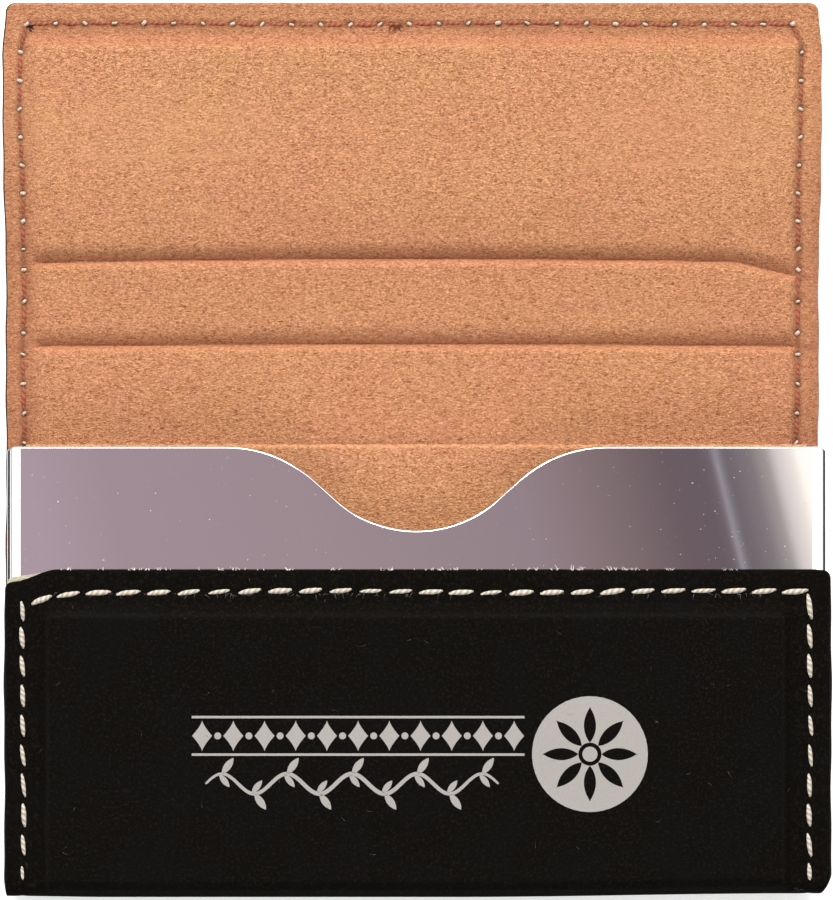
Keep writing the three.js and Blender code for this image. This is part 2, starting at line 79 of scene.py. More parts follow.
COVER_LOW, COVER_HIGH = box_mm("outer_cover_body")
SLEEVE_LOW, SLEEVE_HIGH = box_mm("card_sleeve")
FRONT_BOARD_LOW, FRONT_BOARD_HIGH = box_mm("front_board")
PAD_LOW, PAD_HIGH = box_mm("pocket_lining")

# The two creases: where each turns, and how far the open case stands away from flat.
LOWER_AXIS = np.array(joint_named("lower_crease")["pos_m"][1:]) / MM
UPPER_AXIS = np.array(joint_named("upper_crease")["pos_m"][1:]) / MM
LOWER_TURN = math.radians(-joint_named("lower_crease")["range_deg"][0])
UPPER_TURN = math.radians(-joint_named("upper_crease")["range_deg"][0])
SPINE = float(np.linalg.norm(UPPER_AXIS - LOWER_AXIS))

# Lengths along the wrap, measured flat: s is Y on the back panel and runs on past the creases.
LOWER_S = float(LOWER_AXIS[0])
UPPER_S = LOWER_S + SPINE
FLAP = 29.75
END_S = UPPER_S + FLAP
MID_S = (LOWER_S + UPPER_S) / 2

# Layers.
COVER = 0.7
BOARD = 1.0
LINING = 0.5
GLUE = 0.1
AXIS_Z = float(LOWER_AXIS[1])
HALF = (COVER_HIGH[0] - COVER_LOW[0]) / 2
WALL_Y = float(COVER_LOW[1])
FRONT_RIM_Z = float(COVER_HIGH[2]) - BOARD - GLUE
FRONT_EDGE_Y = 5.8

# How far the sewing pinches the two sheets towards each other: on the side rims, on the rim
# across the flap's free edge, and in the creases.
RIM_LIFT = 0.85
END_LIFT = 0.1
CREASE_LIFT = 0.15

# How far the wrap sits to the right of the sleeve's middle, in front and at the back.
FRONT_SKEW = 0.15
BACK_SKEW = -0.5

# Sewing.
PITCH = 3.44
SEAM_IN = 2.25


# ---- Shapes as whole-array formulas ----


def smooth(x, low, high):
    """0 below low, 1 above high, and 3t^2 - 2t^3 between."""
    t = np.clip((x - low) / (high - low), 0, 1)
    return t * t * (3 - 2 * t)


def bell(x, width):
    """1 at 0, falling off to both sides: exp(-(x / width)^2)."""
    return np.exp(-((x / width) ** 2))


def stations(*spans):
    """Positions along a line: each span is (from, to, step), and joins the next."""
    runs = [
        np.linspace(a, b, max(1, round(abs(b - a) / step)), endpoint=False)
        for a, b, step in spans
    ]
    return np.concatenate([*runs, [spans[-1][1]]])


def ripples(x, y, seed, scale, height):
    """Gentle unevenness: a sum of eight sine waves in seeded directions, `scale` mm long."""
    random = np.random.default_rng(seed)
    total = np.zeros(np.broadcast(x, y).shape)
    for _ in range(8):
        angle = random.uniform(0, math.pi)
        length = scale * random.uniform(0.6, 1.7)
        phase = random.uniform(0, 2 * math.pi)
        wave = (x * math.cos(angle) + y * math.sin(angle)) * 2 * math.pi / length
        total = total + np.sin(wave + phase)
    return total * height / 8


def turned(y, z, axis, angle):
    """Points in the Y-Z plane turned about an axis along X; a positive angle lifts +Y."""
    dy, dz = y - axis[0], z - axis[1]
    c, s = np.cos(angle), np.sin(angle)
    return axis[0] + dy * c - dz * s, axis[1] + dy * s + dz * c


CREASE_BEND = 1.0  # the bend of the sheet reaches this far each side of an axis


def open_creases(s, y, z):
    """Takes the flat wrap to the open pose: past each crease the sheet is turned about it."""
    upper = UPPER_TURN * smooth(s, UPPER_S - CREASE_BEND, UPPER_S + CREASE_BEND)
    y, z = turned(y, z, (UPPER_S, AXIS_Z), upper)
    lower = LOWER_TURN * smooth(s, LOWER_S - CREASE_BEND, LOWER_S + CREASE_BEND)
    return turned(y, z, LOWER_AXIS, lower)


def round_the_fold(s, path):
    """The wrap's line in the Y-Z plane and its outward normal: along the back panel, a quarter
    turn up, the bottom wall, a second quarter turn, and back along the front panel. s falls from
    the back panel's Y by the length gone round."""
    radius, back_z, front_z = path["radius"], path["back_z"], path["front_z"]
    start = path["wall_y"] + radius
    quarter = radius * math.pi / 2
    wall = front_z - back_z - 2 * radius
    gone = start - s
    climbed = np.clip(gone - quarter, 0, wall)
    angle = (
        np.clip(gone, 0, quarter) + np.clip(gone - quarter - wall, 0, quarter)
    ) / radius
    along_front = np.clip(gone - 2 * quarter - wall, 0, None)
    ny, nz = -np.sin(angle), -np.cos(angle)
    y = start + np.clip(s - start, 0, None) + along_front + radius * ny
    z = back_z + radius + climbed + radius * nz
    return y, z, ny, nz


def path_lengths(path):
    """s where the back ends, where the wall starts and ends, where the front starts and ends."""
    start = path["wall_y"] + path["radius"]
    quarter = path["radius"] * math.pi / 2
    wall = path["front_z"] - path["back_z"] - 2 * path["radius"]
    front = start - 2 * quarter - wall
    return start, start - quarter, start - quarter - wall, front, front - (path["front_y"] - start)


COVER_PATH = {
    "back_z": 0.0,
    "wall_y": WALL_Y,
    "front_z": FRONT_RIM_Z,
    "radius": 1.5,
    "front_y": FRONT_EDGE_Y,
}
LINING_PATH = {
    "back_z": AXIS_Z + COVER / 2 + 2 * GLUE + BOARD,
    "wall_y": WALL_Y + COVER + BOARD + 2 * GLUE,
    "front_z": FRONT_RIM_Z - COVER - GLUE,
    "radius": 0.9,
    "front_y": FRONT_EDGE_Y,
}


def crease_line(x, upper):
    """Where the bottom of a crease's groove runs: nearly straight, bowed towards the flap in the
    middle; the upper one turns down at its right end."""
    bow = 1 - (x / 41) ** 2
    if not upper:
        return LOWER_S - 0.2 + 0.2 * bow
    return UPPER_S - 0.5 + 0.42 * bow - 1.5 * smooth(x, 36, 45)


def end_rim(s):
    """1 on the rim across the flap's free edge, which comes down over the front panel's rim when
    the case is closed."""
    return smooth(s, END_S - 5.3, END_S - 3.6)


def within_rims(x, s):
    """1 inside the pinched rims and 0 on them."""
    side = smooth(x, -45.6, -43.7) * smooth(-x, -45.2, -43.5)
    return side * (1 - end_rim(s))


def out_of_crease(s, bottom, length):
    """Rises from 0 at the bottom of a crease to 1, steepest at the bottom: 1 - (1 - t)^2."""
    t = np.clip((s - bottom) / length, 0, 1)
    return 1 - (1 - t) ** 2


def board_mask(x, s):
    """1 over a board and 0 on a pinched rim or in a crease. The side next to the body rises
    steeply out of a crease, and the other side in a long slope."""
    lower, upper = crease_line(x, False), crease_line(x, True)
    body = out_of_crease(-s, -lower, 1.0)
    spine = out_of_crease(s, lower, 2.5) * out_of_crease(-s, -upper, 1.0)
    flap = out_of_crease(s, upper, 2.5)
    return within_rims(x, s) * (body + spine + flap)


def pinch(x, s):
    """How far the two sheets are drawn together: most along the sides, and hardly at all across
    the flap's free edge, which leaves room for the front panel's rim under it."""
    rim = RIM_LIFT + (END_LIFT - RIM_LIFT) * smooth(s, END_S - 11, END_S - 3.6)
    return rim + (CREASE_LIFT - rim) * within_rims(x, s)


def front_mask(x, y):
    """1 over the front board; its edge is a soft ramp, and it runs on into the bottom fold."""
    low, high = FRONT_BOARD_LOW, FRONT_BOARD_HIGH
    side = smooth(x, low[0] - 2.0, low[0] - 0.1) * smooth(-x, -high[0] - 1.6, -high[0] + 0.1)
    return side * (1 - smooth(y, high[1] + 0.1, high[1] + 2.2))


def drawn_in(s):
    """How far the flap's sides and seams lean in towards its free edge."""
    return 0.5 * smooth(s, END_S - 6.5, END_S)


def turned_in(s, side):
    """How far the last stitch of a side seam slants in to the corner."""
    return (0.8 if side > 0 else 0.4) * smooth(s, END_S - 4.9, END_S - 2.6)


def seam_x(s, side):
    """The side seams' line, which wanders a little as sewing does."""
    wander = 0.08 * np.sin(s / 5.1 + side) + 0.06 * np.sin(s / 2.3 + 2 * side)
    inset = SEAM_IN + (0.25 if side > 0 else -0.1)
    return side * (HALF - inset - drawn_in(s) - turned_in(s, side)) + wander


def stitch_holes(a, b):
    """The needle holes from a to b, a whole number of stitches of about one pitch."""
    count = max(1, round(abs(b - a) / PITCH))
    return np.linspace(a, b, count + 1)


def row_of(path, front):
    """How far along the wrap the row of stitches across an end lies."""
    return path_lengths(path)[4] + 2.5 if front else END_S - 2.4


def column_holes(path):
    """The side seams' needle holes, in three runs: body, spine and flap."""
    return (
        stitch_holes(row_of(path, True), LOWER_S - 1.2),
        stitch_holes(LOWER_S + 1.4, UPPER_S - 1.4),
        stitch_holes(UPPER_S + 1.2, row_of(path, False)),
    )


def row_holes(path, front):
    """The needle holes of the row across the front panel's edge or the flap's, as X."""
    row = np.array(row_of(path, front))
    left, right = (float(seam_x(row, side) + skew(row, path)) for side in (-1, 1))
    return stitch_holes(left, right)


def row_sag(x, front):
    """How much lower the front panel's row runs towards its left end."""
    return 0.75 * smooth(-x, 37, 45) if front else 0.0


def near_hole(u, holes):
    """1 at each hole and 0 half way between two, as half a cosine of the hole count."""
    count = np.interp(u, holes, np.arange(len(holes)))
    return 0.5 + 0.5 * np.cos(2 * math.pi * count)


def sewing(x, s, path):
    """How near the side seams and the end rows are, each as (line, hole): 1 on the line, and 1
    at a hole."""
    columns = np.concatenate(column_holes(path))
    rows = (row_of(path, True), row_of(path, False))
    inside = smooth(s, rows[0] - 0.2, rows[0] + 0.6) * (1 - smooth(s, rows[1] - 0.6, rows[1] + 0.2))
    found = []
    for side in (-1, 1):
        across = x - seam_x(s, side) - skew(s, path)
        found.append((across, inside, near_hole(s, columns)))
    for row, front in zip(rows, (True, False)):
        holes = row_holes(path, front)
        first, last = holes[0], holes[-1]
        reach = smooth(x, first - 0.3, first + 0.3) * smooth(-x, -last - 0.3, -last + 0.3)
        found.append((s - row - row_sag(x, front), reach, near_hole(x, holes)))
    return found


def sewn_dimples(x, s, path):
    """How far the sewing pulls the sheet in, in mm: a shallow channel along each seam, a dimple
    at each hole and a faint pucker running out from it."""
    pull = 0.0
    for across, inside, hole in sewing(x, s, path):
        pull = pull + inside * bell(across, 0.42) * (0.06 + 0.13 * hole**4)
        pull = pull + inside * bell(across, 1.7) * 0.05 * hole**14
    return np.minimum(pull, 0.3)


def skew(s, path):
    """The wrap isn't quite square on the sleeve: its back and flap sit a little to the left."""
    back, _, _, front, _ = path_lengths(path)
    return FRONT_SKEW + (BACK_SKEW - FRONT_SKEW) * smooth(s, front, back)


def corner_half(distance, radius):
    """Half the sheet's width at a distance from an end with round corners."""
    short = np.clip(radius - distance, 0, radius)
    return HALF - radius + np.sqrt(radius**2 - short**2)


def sheet_x(a, s, path, trim=0.0):
    """X across the sheet for a from -1 to 1, with round free corners, a slightly uneven cut and
    the fold's corners drawn in, the right one more than the left."""
    back, wall_low, wall_high, front, front_end = path_lengths(path)
    half = np.minimum(corner_half(END_S - s, 1.1), corner_half(s - front_end, 1.0)) - trim
    half = half - drawn_in(s)
    cut = 0.05 * np.sin(s / 3.7) + 0.04 * np.sin(s / 1.31 + 1)
    drawn = smooth(s, front - 1.3, wall_high) * (1 - smooth(s, wall_low, back + 1.5))
    drawn = np.where(a > 0, 1.2, 0.35) * drawn
    return a * half + np.sign(a) * (cut - drawn) * np.abs(a) ** 8 + skew(s, path) + trim / 2


def front_droop(x, s, front_end):
    """The front panel's top left corner sags: its edge runs lower there, by up to 1.3 mm."""
    return 1.35 * smooth(-x, 41.5, 46.5) * (1 - smooth(s, front_end, front_end + 9))


def cover_point(x, s, depth):
    """A point in the leatherette, `depth` under its outer face.

    The line round the fold, moved out over the front board, in along the rims and seams, and
    then opened at the creases."""
    _, wall_low, wall_high, front, front_end = path_lengths(COVER_PATH)
    y, z, ny, nz = round_the_fold(s, COVER_PATH)
    on_front = 1 - smooth(s, front - 0.6, (front + wall_high) / 2)
    on_back = smooth(s, wall_low, wall_low + 2)
    out = on_front * front_mask(x, y) * (BOARD + GLUE)
    out = out - on_back * pinch(x, s) * (1 - board_mask(x, s))
    out = out - sewn_dimples(x, s, COVER_PATH) * 0.8
    out = out + on_front * ripples(x, s, 3, 17, 0.11)
    edge = np.minimum(HALF - np.abs(x - skew(s, COVER_PATH)), np.minimum(END_S - s, s - front_end))
    out = out - 0.16 * (1 - smooth(edge, -0.1, 0.35)) ** 2
    y = y + (out - depth) * ny - on_front * front_droop(x, s, front_end)
    z = z + (out - depth) * nz
    fold = smooth(s, front - 3, front) * (1 - smooth(s, wall_low, wall_low + 3))
    y = y + fold * (0.42 * smooth(x, 5, 44) + 0.12 * smooth(-x, 36, 46))
    y, z = open_creases(s, y, z)
    return np.stack(np.broadcast_arrays(x, y, z), axis=-1)


def lining_point(x, s, depth):
    """A point in the suede lining, `depth` under its inner face: the line of its raised level
    round the fold, let out towards the cover on the rims and in the creases."""
    _, wall_low, wall_high, front, front_end = path_lengths(LINING_PATH)
    y, z, ny, nz = round_the_fold(s, LINING_PATH)
    on_front = 1 - smooth(s, front - 0.5, wall_high)
    rise = BOARD + GLUE - pinch(x, s) * smooth(s, wall_low, wall_low + 2)
    out = (1 - on_front) * (1 - board_mask(x, s)) * rise
    pull = sewn_dimples(x, s, LINING_PATH)
    shown = smooth(s, 18, 20)
    out = out + (pull * 0.9 - ripples(x, s, 8, 15, 0.1) - ripples(x, s, 9, 3.6, 0.035)) * shown
    edge = np.minimum(HALF - np.abs(x - skew(s, LINING_PATH)), END_S - s)
    out = out + 0.14 * (1 - smooth(edge, -0.1, 0.4)) ** 2 * shown
    inward = LINING - out - depth
    y = y - inward * ny - on_front * (0.22 + 0.42 * front_droop(x, s, front_end)) * (
        1 - smooth(s, front_end, front_end + 9)
    )
    z = z - inward * nz
    y, z = open_creases(s, y, z)
    return np.stack(np.broadcast_arrays(x, y, z), axis=-1)


# ---- Meshes ----


def signed_volume(points, quads):
    """The volume inside a closed mesh of quads: a sixth of the sum of the corner products."""
    a, b, c, d = (points[quads[:, i]] for i in range(4))
    return (a * (np.cross(b, c) + np.cross(c, d))).sum() / 6


def mesh_piece(name, points, faces, material, sharp=35, uv=None, values=None):
    """A piece from points in millimetres and faces, smooth but for edges over `sharp` degrees."""
    mesh = bpy.data.meshes.new(name)
    mesh.from_pydata(points.reshape(-1, 3) * MM, [], faces.tolist())
    mesh.polygons.foreach_set("use_smooth", np.ones(len(mesh.polygons), bool))
    mesh.set_sharp_from_angle(angle=math.radians(sharp))
    if uv is not None:
        layer = mesh.uv_layers.new(name="UVMap")
        corners = np.zeros(len(mesh.loops), np.int64)
        mesh.loops.foreach_get("vertex_index", corners)
        layer.data.foreach_set("uv", uv.reshape(-1, 2)[corners].astype(np.float32).ravel())
    for key, value in (values or {}).items():
        attribute = mesh.attributes.new(key, "FLOAT", "POINT")
        attribute.data.foreach_set("value", value.astype(np.float32).ravel())
    mesh.materials.append(material)
    piece = bpy.data.objects.new(name, mesh)
    bpy.context.scene.collection.objects.link(piece)
    return piece


def grid_quads(rows, columns, close_rows=False, close_columns=False):
    """The quads of a grid of points, `rows` by `columns`, joined round on itself if asked."""
    r = np.arange(rows if close_rows else rows - 1)
    c = np.arange(columns if close_columns else columns - 1)
    i, j = np.meshgrid(r, c, indexing="ij")
    down, right = (i + 1) % rows, (j + 1) % columns
    quads = [i * columns + j, i * columns + right, down * columns + right, down * columns + j]
    return np.stack([q.ravel() for q in quads], axis=1)


def tube_quads(rings, around, count):
    """The quads of `count` closed tubes, one after another: each has `rings` rings of `around`
    points, and a fan of quads over either end."""
    k = np.arange(1, around - 1, 2)
    cap = np.stack([0 * k, k, k + 1, k + 2], axis=1)
    side = grid_quads(rings, around, close_columns=True)
    tube = np.concatenate([side, cap[:, ::-1], cap + (rings - 1) * around])
    first = np.arange(count) * rings * around
    return (tube[None] + first[:, None, None]).reshape(-1, 4)


def outward(points, quads):
    """Turns every face round if the closed mesh is inside out."""
    if signed_volume(points - points.mean(0), quads) < 0:
        return quads[:, ::-1]
    return quads


def join_meshes(parts):
    """Several meshes as one, each given as (points, quads) or (points, quads, uv)."""
    points, quads, *uvs = zip(*parts)
    first = np.cumsum([0, *(len(p) for p in points[:-1])])
    quads = [q + at for q, at in zip(quads, first)]
    return tuple(np.concatenate(each) for each in (points, quads, *uvs))


def border(rows, columns):
    """The grid's outer points in order, once round."""
    top = np.arange(columns)
    right = np.arange(1, rows) * columns + columns - 1
    bottom = (rows - 1) * columns + np.arange(columns - 2, -1, -1)
    left = np.arange(rows - 2, 0, -1) * columns
    return np.concatenate([top, right, bottom, left])


def sheet_piece(name, face, back, material, values=None):
    """A closed sheet from two grids of the same shape, its face and its back, joined round the
    border by a strip."""
    rows, columns = face.shape[:2]
    count = rows * columns
    front_quads = grid_quads(rows, columns)
    back_quads = front_quads[:, ::-1] + count
    loop = border(rows, columns)
    following = np.roll(loop, -1)
    strip = np.stack([loop, loop + count, following + count, following], axis=1)
    quads = np.concatenate([front_quads, back_quads, strip])
    points = np.concatenate([face.reshape(-1, 3), back.reshape(-1, 3)])
    quads = outward(points, quads)
    values = {key: np.tile(value.ravel(), 2) for key, value in (values or {}).items()}
    return mesh_piece(name, points, quads, material, values=values)


# ---- Materials ----


def tone(hex_code, alpha=1.0):
    """An sRGB hex value as linear RGBA."""
    channels = [int(hex_code[i : i + 2], 16) / 255 for i in (0, 2, 4)]
    linear = [c / 12.92 if c <= 0.04045 else ((c + 0.055) / 1.055) ** 2.4 for c in channels]
    return (*linear, alpha)


def put(tree, kind, settings=None, values=None, links=None):
    """Adds one node: `settings` are its own properties, `values` the sockets left unlinked, and
    `links` the sockets that another node's output feeds."""
    made = tree.nodes.new("ShaderNode" + kind)
    for key, value in (settings or {}).items():
        setattr(made, key, value)
    for key, value in (values or {}).items():
        made.inputs[key].default_value = value
    for key, output in (links or {}).items():
        tree.links.new(output, made.inputs[key])
    return made


def new_material(name):
    """An empty material's tree, its Principled shader and the object coordinates."""
    material = bpy.data.materials.new(name)
    material.use_nodes = True
    tree = material.node_tree
    shader = tree.nodes["Principled BSDF"]
    place = put(tree, "TexCoord").outputs["Object"]
    return material, tree, shader, place


def per_mm(*counts):
    """A Mapping scale for patterns with that many features to the millimetre along X, Y, Z."""
    return tuple(count / MM for count in counts)


def napped_suede():
    """Microfibre suede, brushed after dyeing: matted fibres lie across the case in wavy tufts
    under a millimetre long and a quarter wide, light on their crowns and dark between, with
    longer dark flecks where the nap parts and pinker and yellower patches a finger wide. Rubbed
    places are lighter and smoother, and cut rims are darker and redder. A painted highlight
    lightens the pocket pad's edge, and painted shade darkens the needle holes, the threads'
    edges and the slope inside the flap's end seam."""
    material, tree, shader, place = new_material("napped_suede")
    scale = per_mm(2.7, 6.0, 6.0)
    tufts_at = put(tree, "Mapping", values={"Scale": scale}, links={"Vector": place})
    tufts = put(
        tree,
        "TexNoise",
        values={"Scale": 1.0, "Detail": 3.0, "Roughness": 0.72, "Distortion": 1.2},
        links={"Vector": tufts_at.outputs[0]},
    )
    scale = per_mm(1.5, 4.3, 4.3)
    flecks_at = put(tree, "Mapping", values={"Scale": scale}, links={"Vector": place})
    flecks = put(
        tree,
        "TexNoise",
        values={"Scale": 1.0, "Detail": 3.0, "Roughness": 0.6, "Distortion": 1.8},
        links={"Vector": flecks_at.outputs[0]},
    )
    scale = per_mm(0.06, 0.1, 0.1)
    wide = put(tree, "Mapping", values={"Scale": scale}, links={"Vector": place})
    patches = put(
        tree,
        "TexNoise",
        values={"Scale": 1.0, "Detail": 4.0, "Roughness": 0.6},
        links={"Vector": wide.outputs[0]},
    )
    patch_mix = put(
        tree,
        "MapRange",
        values={"From Min": 0.38, "From Max": 0.62},
        links={"Value": patches.outputs["Fac"]},
    )
    crown = put(
        tree,
        "Mix",
        {"data_type": "RGBA"},
        {6: tone("EAAA81"), 7: tone("EAB07F")},
        {0: patch_mix.outputs[0]},
    )
    # Darker and redder: tone and soil, and painted shade on the slope inside the flap's end seam;
    # also darker in the rims, seams and creases.
    soil = put(tree, "Attribute", {"attribute_name": "soil"})
    soiled_and_shaded = put(
        tree,
        "Mix",
        {"data_type": "RGBA"},
        {7: tone("B87E62")},
        {0: soil.outputs["Fac"], 6: crown.outputs[2]},
    )
    tuft_mix = put(
        tree,
        "MapRange",
        values={"From Min": 0.65, "From Max": 0.35, "To Max": 1.0},
        links={"Value": tufts.outputs["Fac"]},
    )
    tufted = put(
        tree,
        "Mix",
        {"data_type": "RGBA"},
        {7: tone("844B27")},
        {0: tuft_mix.outputs[0], 6: soiled_and_shaded.outputs[2]},
    )
    fleck_mix = put(
        tree,
        "MapRange",
        values={"From Min": 0.59, "From Max": 0.68, "To Max": 0.95},
        links={"Value": flecks.outputs["Fac"]},
    )
    flecked = put(
        tree,
        "Mix",
        {"data_type": "RGBA"},
        {7: tone("703719")},
        {0: fleck_mix.outputs[0], 6: tufted.outputs[2]},
    )
    # Lighter: wear on the flap, and a painted highlight along the pocket pad's edge.
    rub = put(tree, "Attribute", {"attribute_name": "rub"})
    lightened = put(
        tree,
        "Mix",
        {"data_type": "RGBA"},
        {7: tone("CB9468")},
        {0: rub.outputs["Fac"], 6: flecked.outputs[2]},
    )
    # Painted shade: dark needle holes and a dark line along each thread's edges.
    hole = put(tree, "Attribute", {"attribute_name": "hole"})
    hole_shaded = put(
        tree,
        "Mix",
        {"data_type": "RGBA"},
        {7: tone("472417")},
        {0: hole.outputs["Fac"], 6: lightened.outputs[2]},
    )
    bare = put(tree, "Attribute", {"attribute_name": "bare"})
    bared = put(
        tree,
        "Mix",
        {"data_type": "RGBA"},
        {7: tone("CFC6AE")},
        {0: bare.outputs["Fac"], 6: hole_shaded.outputs[2]},
    )
    tree.links.new(bared.outputs[2], shader.inputs["Base Color"])
    heights = put(
        tree,
        "Math",
        {"operation": "SUBTRACT"},
        links={0: tufts.outputs["Fac"], 1: flecks.outputs["Fac"]},
    )
    bump = put(
        tree,
        "Bump",
        values={"Strength": 0.7, "Distance": 0.22 * MM},
        links={"Height": heights.outputs[0]},
    )
    tree.links.new(bump.outputs[0], shader.inputs["Normal"])
    shader.inputs["Roughness"].default_value = 0.95
    shader.inputs["Specular IOR Level"].default_value = 0.12
    shader.inputs["Sheen Weight"].default_value = 0.08
    shader.inputs["Sheen Roughness"].default_value = 0.5
    shader.inputs["Sheen Tint"].default_value = tone("F2C49C")
    return material


def black_leatherette():
    """Laserable leatherette: polyurethane skin on a textile, sanded to a fine matte nap. Almost
    no gloss; the nap catches light in specks a third of a millimetre apart, and a painted
    highlight makes the crest over the board's edge a shade greyer."""
    material, tree, shader, place = new_material("black_leatherette")
    fine = put(tree, "Mapping", values={"Scale": per_mm(3.2, 3.2, 3.2)}, links={"Vector": place})
    nap = put(
        tree,
        "TexNoise",
        values={"Scale": 1.0, "Detail": 3.0, "Roughness": 0.65},
        links={"Vector": fine.outputs[0]},
    )
    scale = per_mm(0.16, 0.16, 0.16)
    wide = put(tree, "Mapping", values={"Scale": scale}, links={"Vector": place})
    look = {"Scale": 1.0, "Detail": 4.0}
    clouds = put(tree, "TexNoise", values=look, links={"Vector": wide.outputs[0]})
    nap_mix = put(
        tree,
        "MapRange",
        values={"From Min": 0.52, "From Max": 0.78},
        links={"Value": nap.outputs["Fac"]},
    )
    napped = put(
        tree,
        "Mix",
        {"data_type": "RGBA"},
        {6: tone("080604"), 7: tone("1D1916")},
        {0: nap_mix.outputs[0]},
    )
    cloud_mix = put(
        tree,
        "MapRange",
        values={"From Min": 0.45, "From Max": 0.7, "To Max": 0.4},
        links={"Value": clouds.outputs["Fac"]},
    )
    clouded = put(
        tree,
        "Mix",
        {"data_type": "RGBA"},
        {7: tone("0C0B0A")},
        {0: cloud_mix.outputs[0], 6: napped.outputs[2]},
    )
    # Greyer: a painted highlight along the crest over the front board's edge, and the cut edges.
    rub = put(tree, "Attribute", {"attribute_name": "rub"})
    lightened = put(
        tree,
        "Mix",
        {"data_type": "RGBA"},
        {7: tone("1D1E20")},
        {0: rub.outputs["Fac"], 6: clouded.outputs[2]},
    )
    tree.links.new(lightened.outputs[2], shader.inputs["Base Color"])
    bump = put(
        tree,
        "Bump",
        values={"Strength": 0.5, "Distance": 0.08 * MM},
        links={"Height": nap.outputs["Fac"]},
    )
    tree.links.new(bump.outputs[0], shader.inputs["Normal"])
    shader.inputs["Roughness"].default_value = 0.8
    shader.inputs["Specular IOR Level"].default_value = 0.02
    return material


def mirror_steel():
    """Stainless steel sheet, buffed to a mirror: clear reflections in a neutral grey, with a
    slight haze of handling and pin-prick specks where the buff has pulled out grains."""
    material, tree, shader, place = new_material("mirror_steel")
    scale = per_mm(0.15, 0.15, 0.15)
    haze_at = put(tree, "Mapping", values={"Scale": scale}, links={"Vector": place})
    look = {"Scale": 1.0, "Detail": 4.0}
    haze = put(tree, "TexNoise", values=look, links={"Vector": haze_at.outputs[0]})
    scale = per_mm(3.4, 3.4, 3.4)
    specks_at = put(tree, "Mapping", values={"Scale": scale}, links={"Vector": place})
    look = {"Scale": 1.0, "Detail": 1.0}
    specks = put(tree, "TexNoise", values=look, links={"Vector": specks_at.outputs[0]})
    hazed = put(
        tree,
        "MapRange",
        values={"From Min": 0.3, "From Max": 0.75, "To Min": 0.01, "To Max": 0.03},
        links={"Value": haze.outputs["Fac"]},
    )
    pricked = put(
        tree,
        "MapRange",
        values={"From Min": 0.75, "From Max": 0.83, "To Max": 0.3},
        links={"Value": specks.outputs["Fac"]},
    )
    both = {0: hazed.outputs[0], 1: pricked.outputs[0]}
    rough = put(tree, "Math", {"operation": "ADD"}, links=both)
    tree.links.new(rough.outputs[0], shader.inputs["Roughness"])
    shader.inputs["Base Color"].default_value = tone("D4D2D2")
    shader.inputs["Metallic"].default_value = 1.0
    return material


def spun_thread(name, light, dark, sheen=0.0):
    """Bonded sewing thread of two plies: the twist shows as slanting ridges, three to the
    millimetre, and a few loose filaments."""
    material, tree, shader, _ = new_material(name)
    around = put(tree, "UVMap", {"uv_map": "UVMap"})
    twist = put(
        tree,
        "TexWave",
        {"wave_type": "BANDS", "bands_direction": "DIAGONAL"},
        {"Scale": 1.1, "Distortion": 2.5, "Detail": 2.0},
        {"Vector": around.outputs[0]},
    )
    colour = put(
        tree,
        "Mix",
        {"data_type": "RGBA"},
        {6: tone(dark), 7: tone(light)},
        {0: twist.outputs["Fac"]},
    )
    tree.links.new(colour.outputs[2], shader.inputs["Base Color"])
    bump = put(
        tree,
        "Bump",
        values={"Strength": 0.5, "Distance": 0.08 * MM},
        links={"Height": twist.outputs["Fac"]},
    )
    tree.links.new(bump.outputs[0], shader.inputs["Normal"])
    shader.inputs["Roughness"].default_value = 0.75
    shader.inputs["Specular IOR Level"].default_value = 0.15
    shader.inputs["Sheen Weight"].default_value = sheen
    return material


def engraved_layer():
    """The pale grey under-layer that a laser uncovers in the leatherette: flat and chalky, with
    fine burnt grain."""
    material, tree, shader, place = new_material("engraved_layer")
    fine = put(tree, "Mapping", values={"Scale": per_mm(5, 5, 5)}, links={"Vector": place})
    look = {"Scale": 1.0, "Detail": 2.0}
    grain = put(tree, "TexNoise", values=look, links={"Vector": fine.outputs[0]})
    colour = put(
        tree,
        "Mix",
        {"data_type": "RGBA"},
        {6: tone("8E8984"), 7: tone("9E9994")},
        {0: grain.outputs["Fac"]},
    )
    tree.links.new(colour.outputs[2], shader.inputs["Base Color"])
    shader.inputs["Roughness"].default_value = 0.85
    shader.inputs["Specular IOR Level"].default_value = 0.2
    return material


def pressed_greyboard():
    """Greyboard of waste paper: dull, mottled with fibre clots a millimetre across."""
    material, tree, shader, place = new_material("pressed_greyboard")
    fine = put(tree, "Mapping", values={"Scale": per_mm(1.2, 1.2, 1.2)}, links={"Vector": place})
    look = {"Scale": 1.0, "Detail": 5.0}
    clots = put(tree, "TexNoise", values=look, links={"Vector": fine.outputs[0]})
    colour = put(
        tree,
        "Mix",
        {"data_type": "RGBA"},
        {6: tone("7D7566"), 7: tone("A39C8D")},
        {0: clots.outputs["Fac"]},
    )
    tree.links.new(colour.outputs[2], shader.inputs["Base Color"])
    shader.inputs["Roughness"].default_value = 0.95
    return material


def nickel_plate():
    """Bright nickel on a sintered magnet: satin, slightly warm, with a fine tumbled texture."""
    material, tree, shader, place = new_material("nickel_plate")
    fine = put(tree, "Mapping", values={"Scale": per_mm(4, 4, 4)}, links={"Vector": place})
    look = {"Scale": 1.0, "Detail": 2.0}
    grain = put(tree, "TexNoise", values=look, links={"Vector": fine.outputs[0]})
    rough = put(
        tree,
        "MapRange",
        values={"To Min": 0.2, "To Max": 0.35},
        links={"Value": grain.outputs["Fac"]},
    )
    tree.links.new(rough.outputs[0], shader.inputs["Roughness"])
    shader.inputs["Base Color"].default_value = tone("CFC9BE")
    shader.inputs["Metallic"].default_value = 1.0
    return material


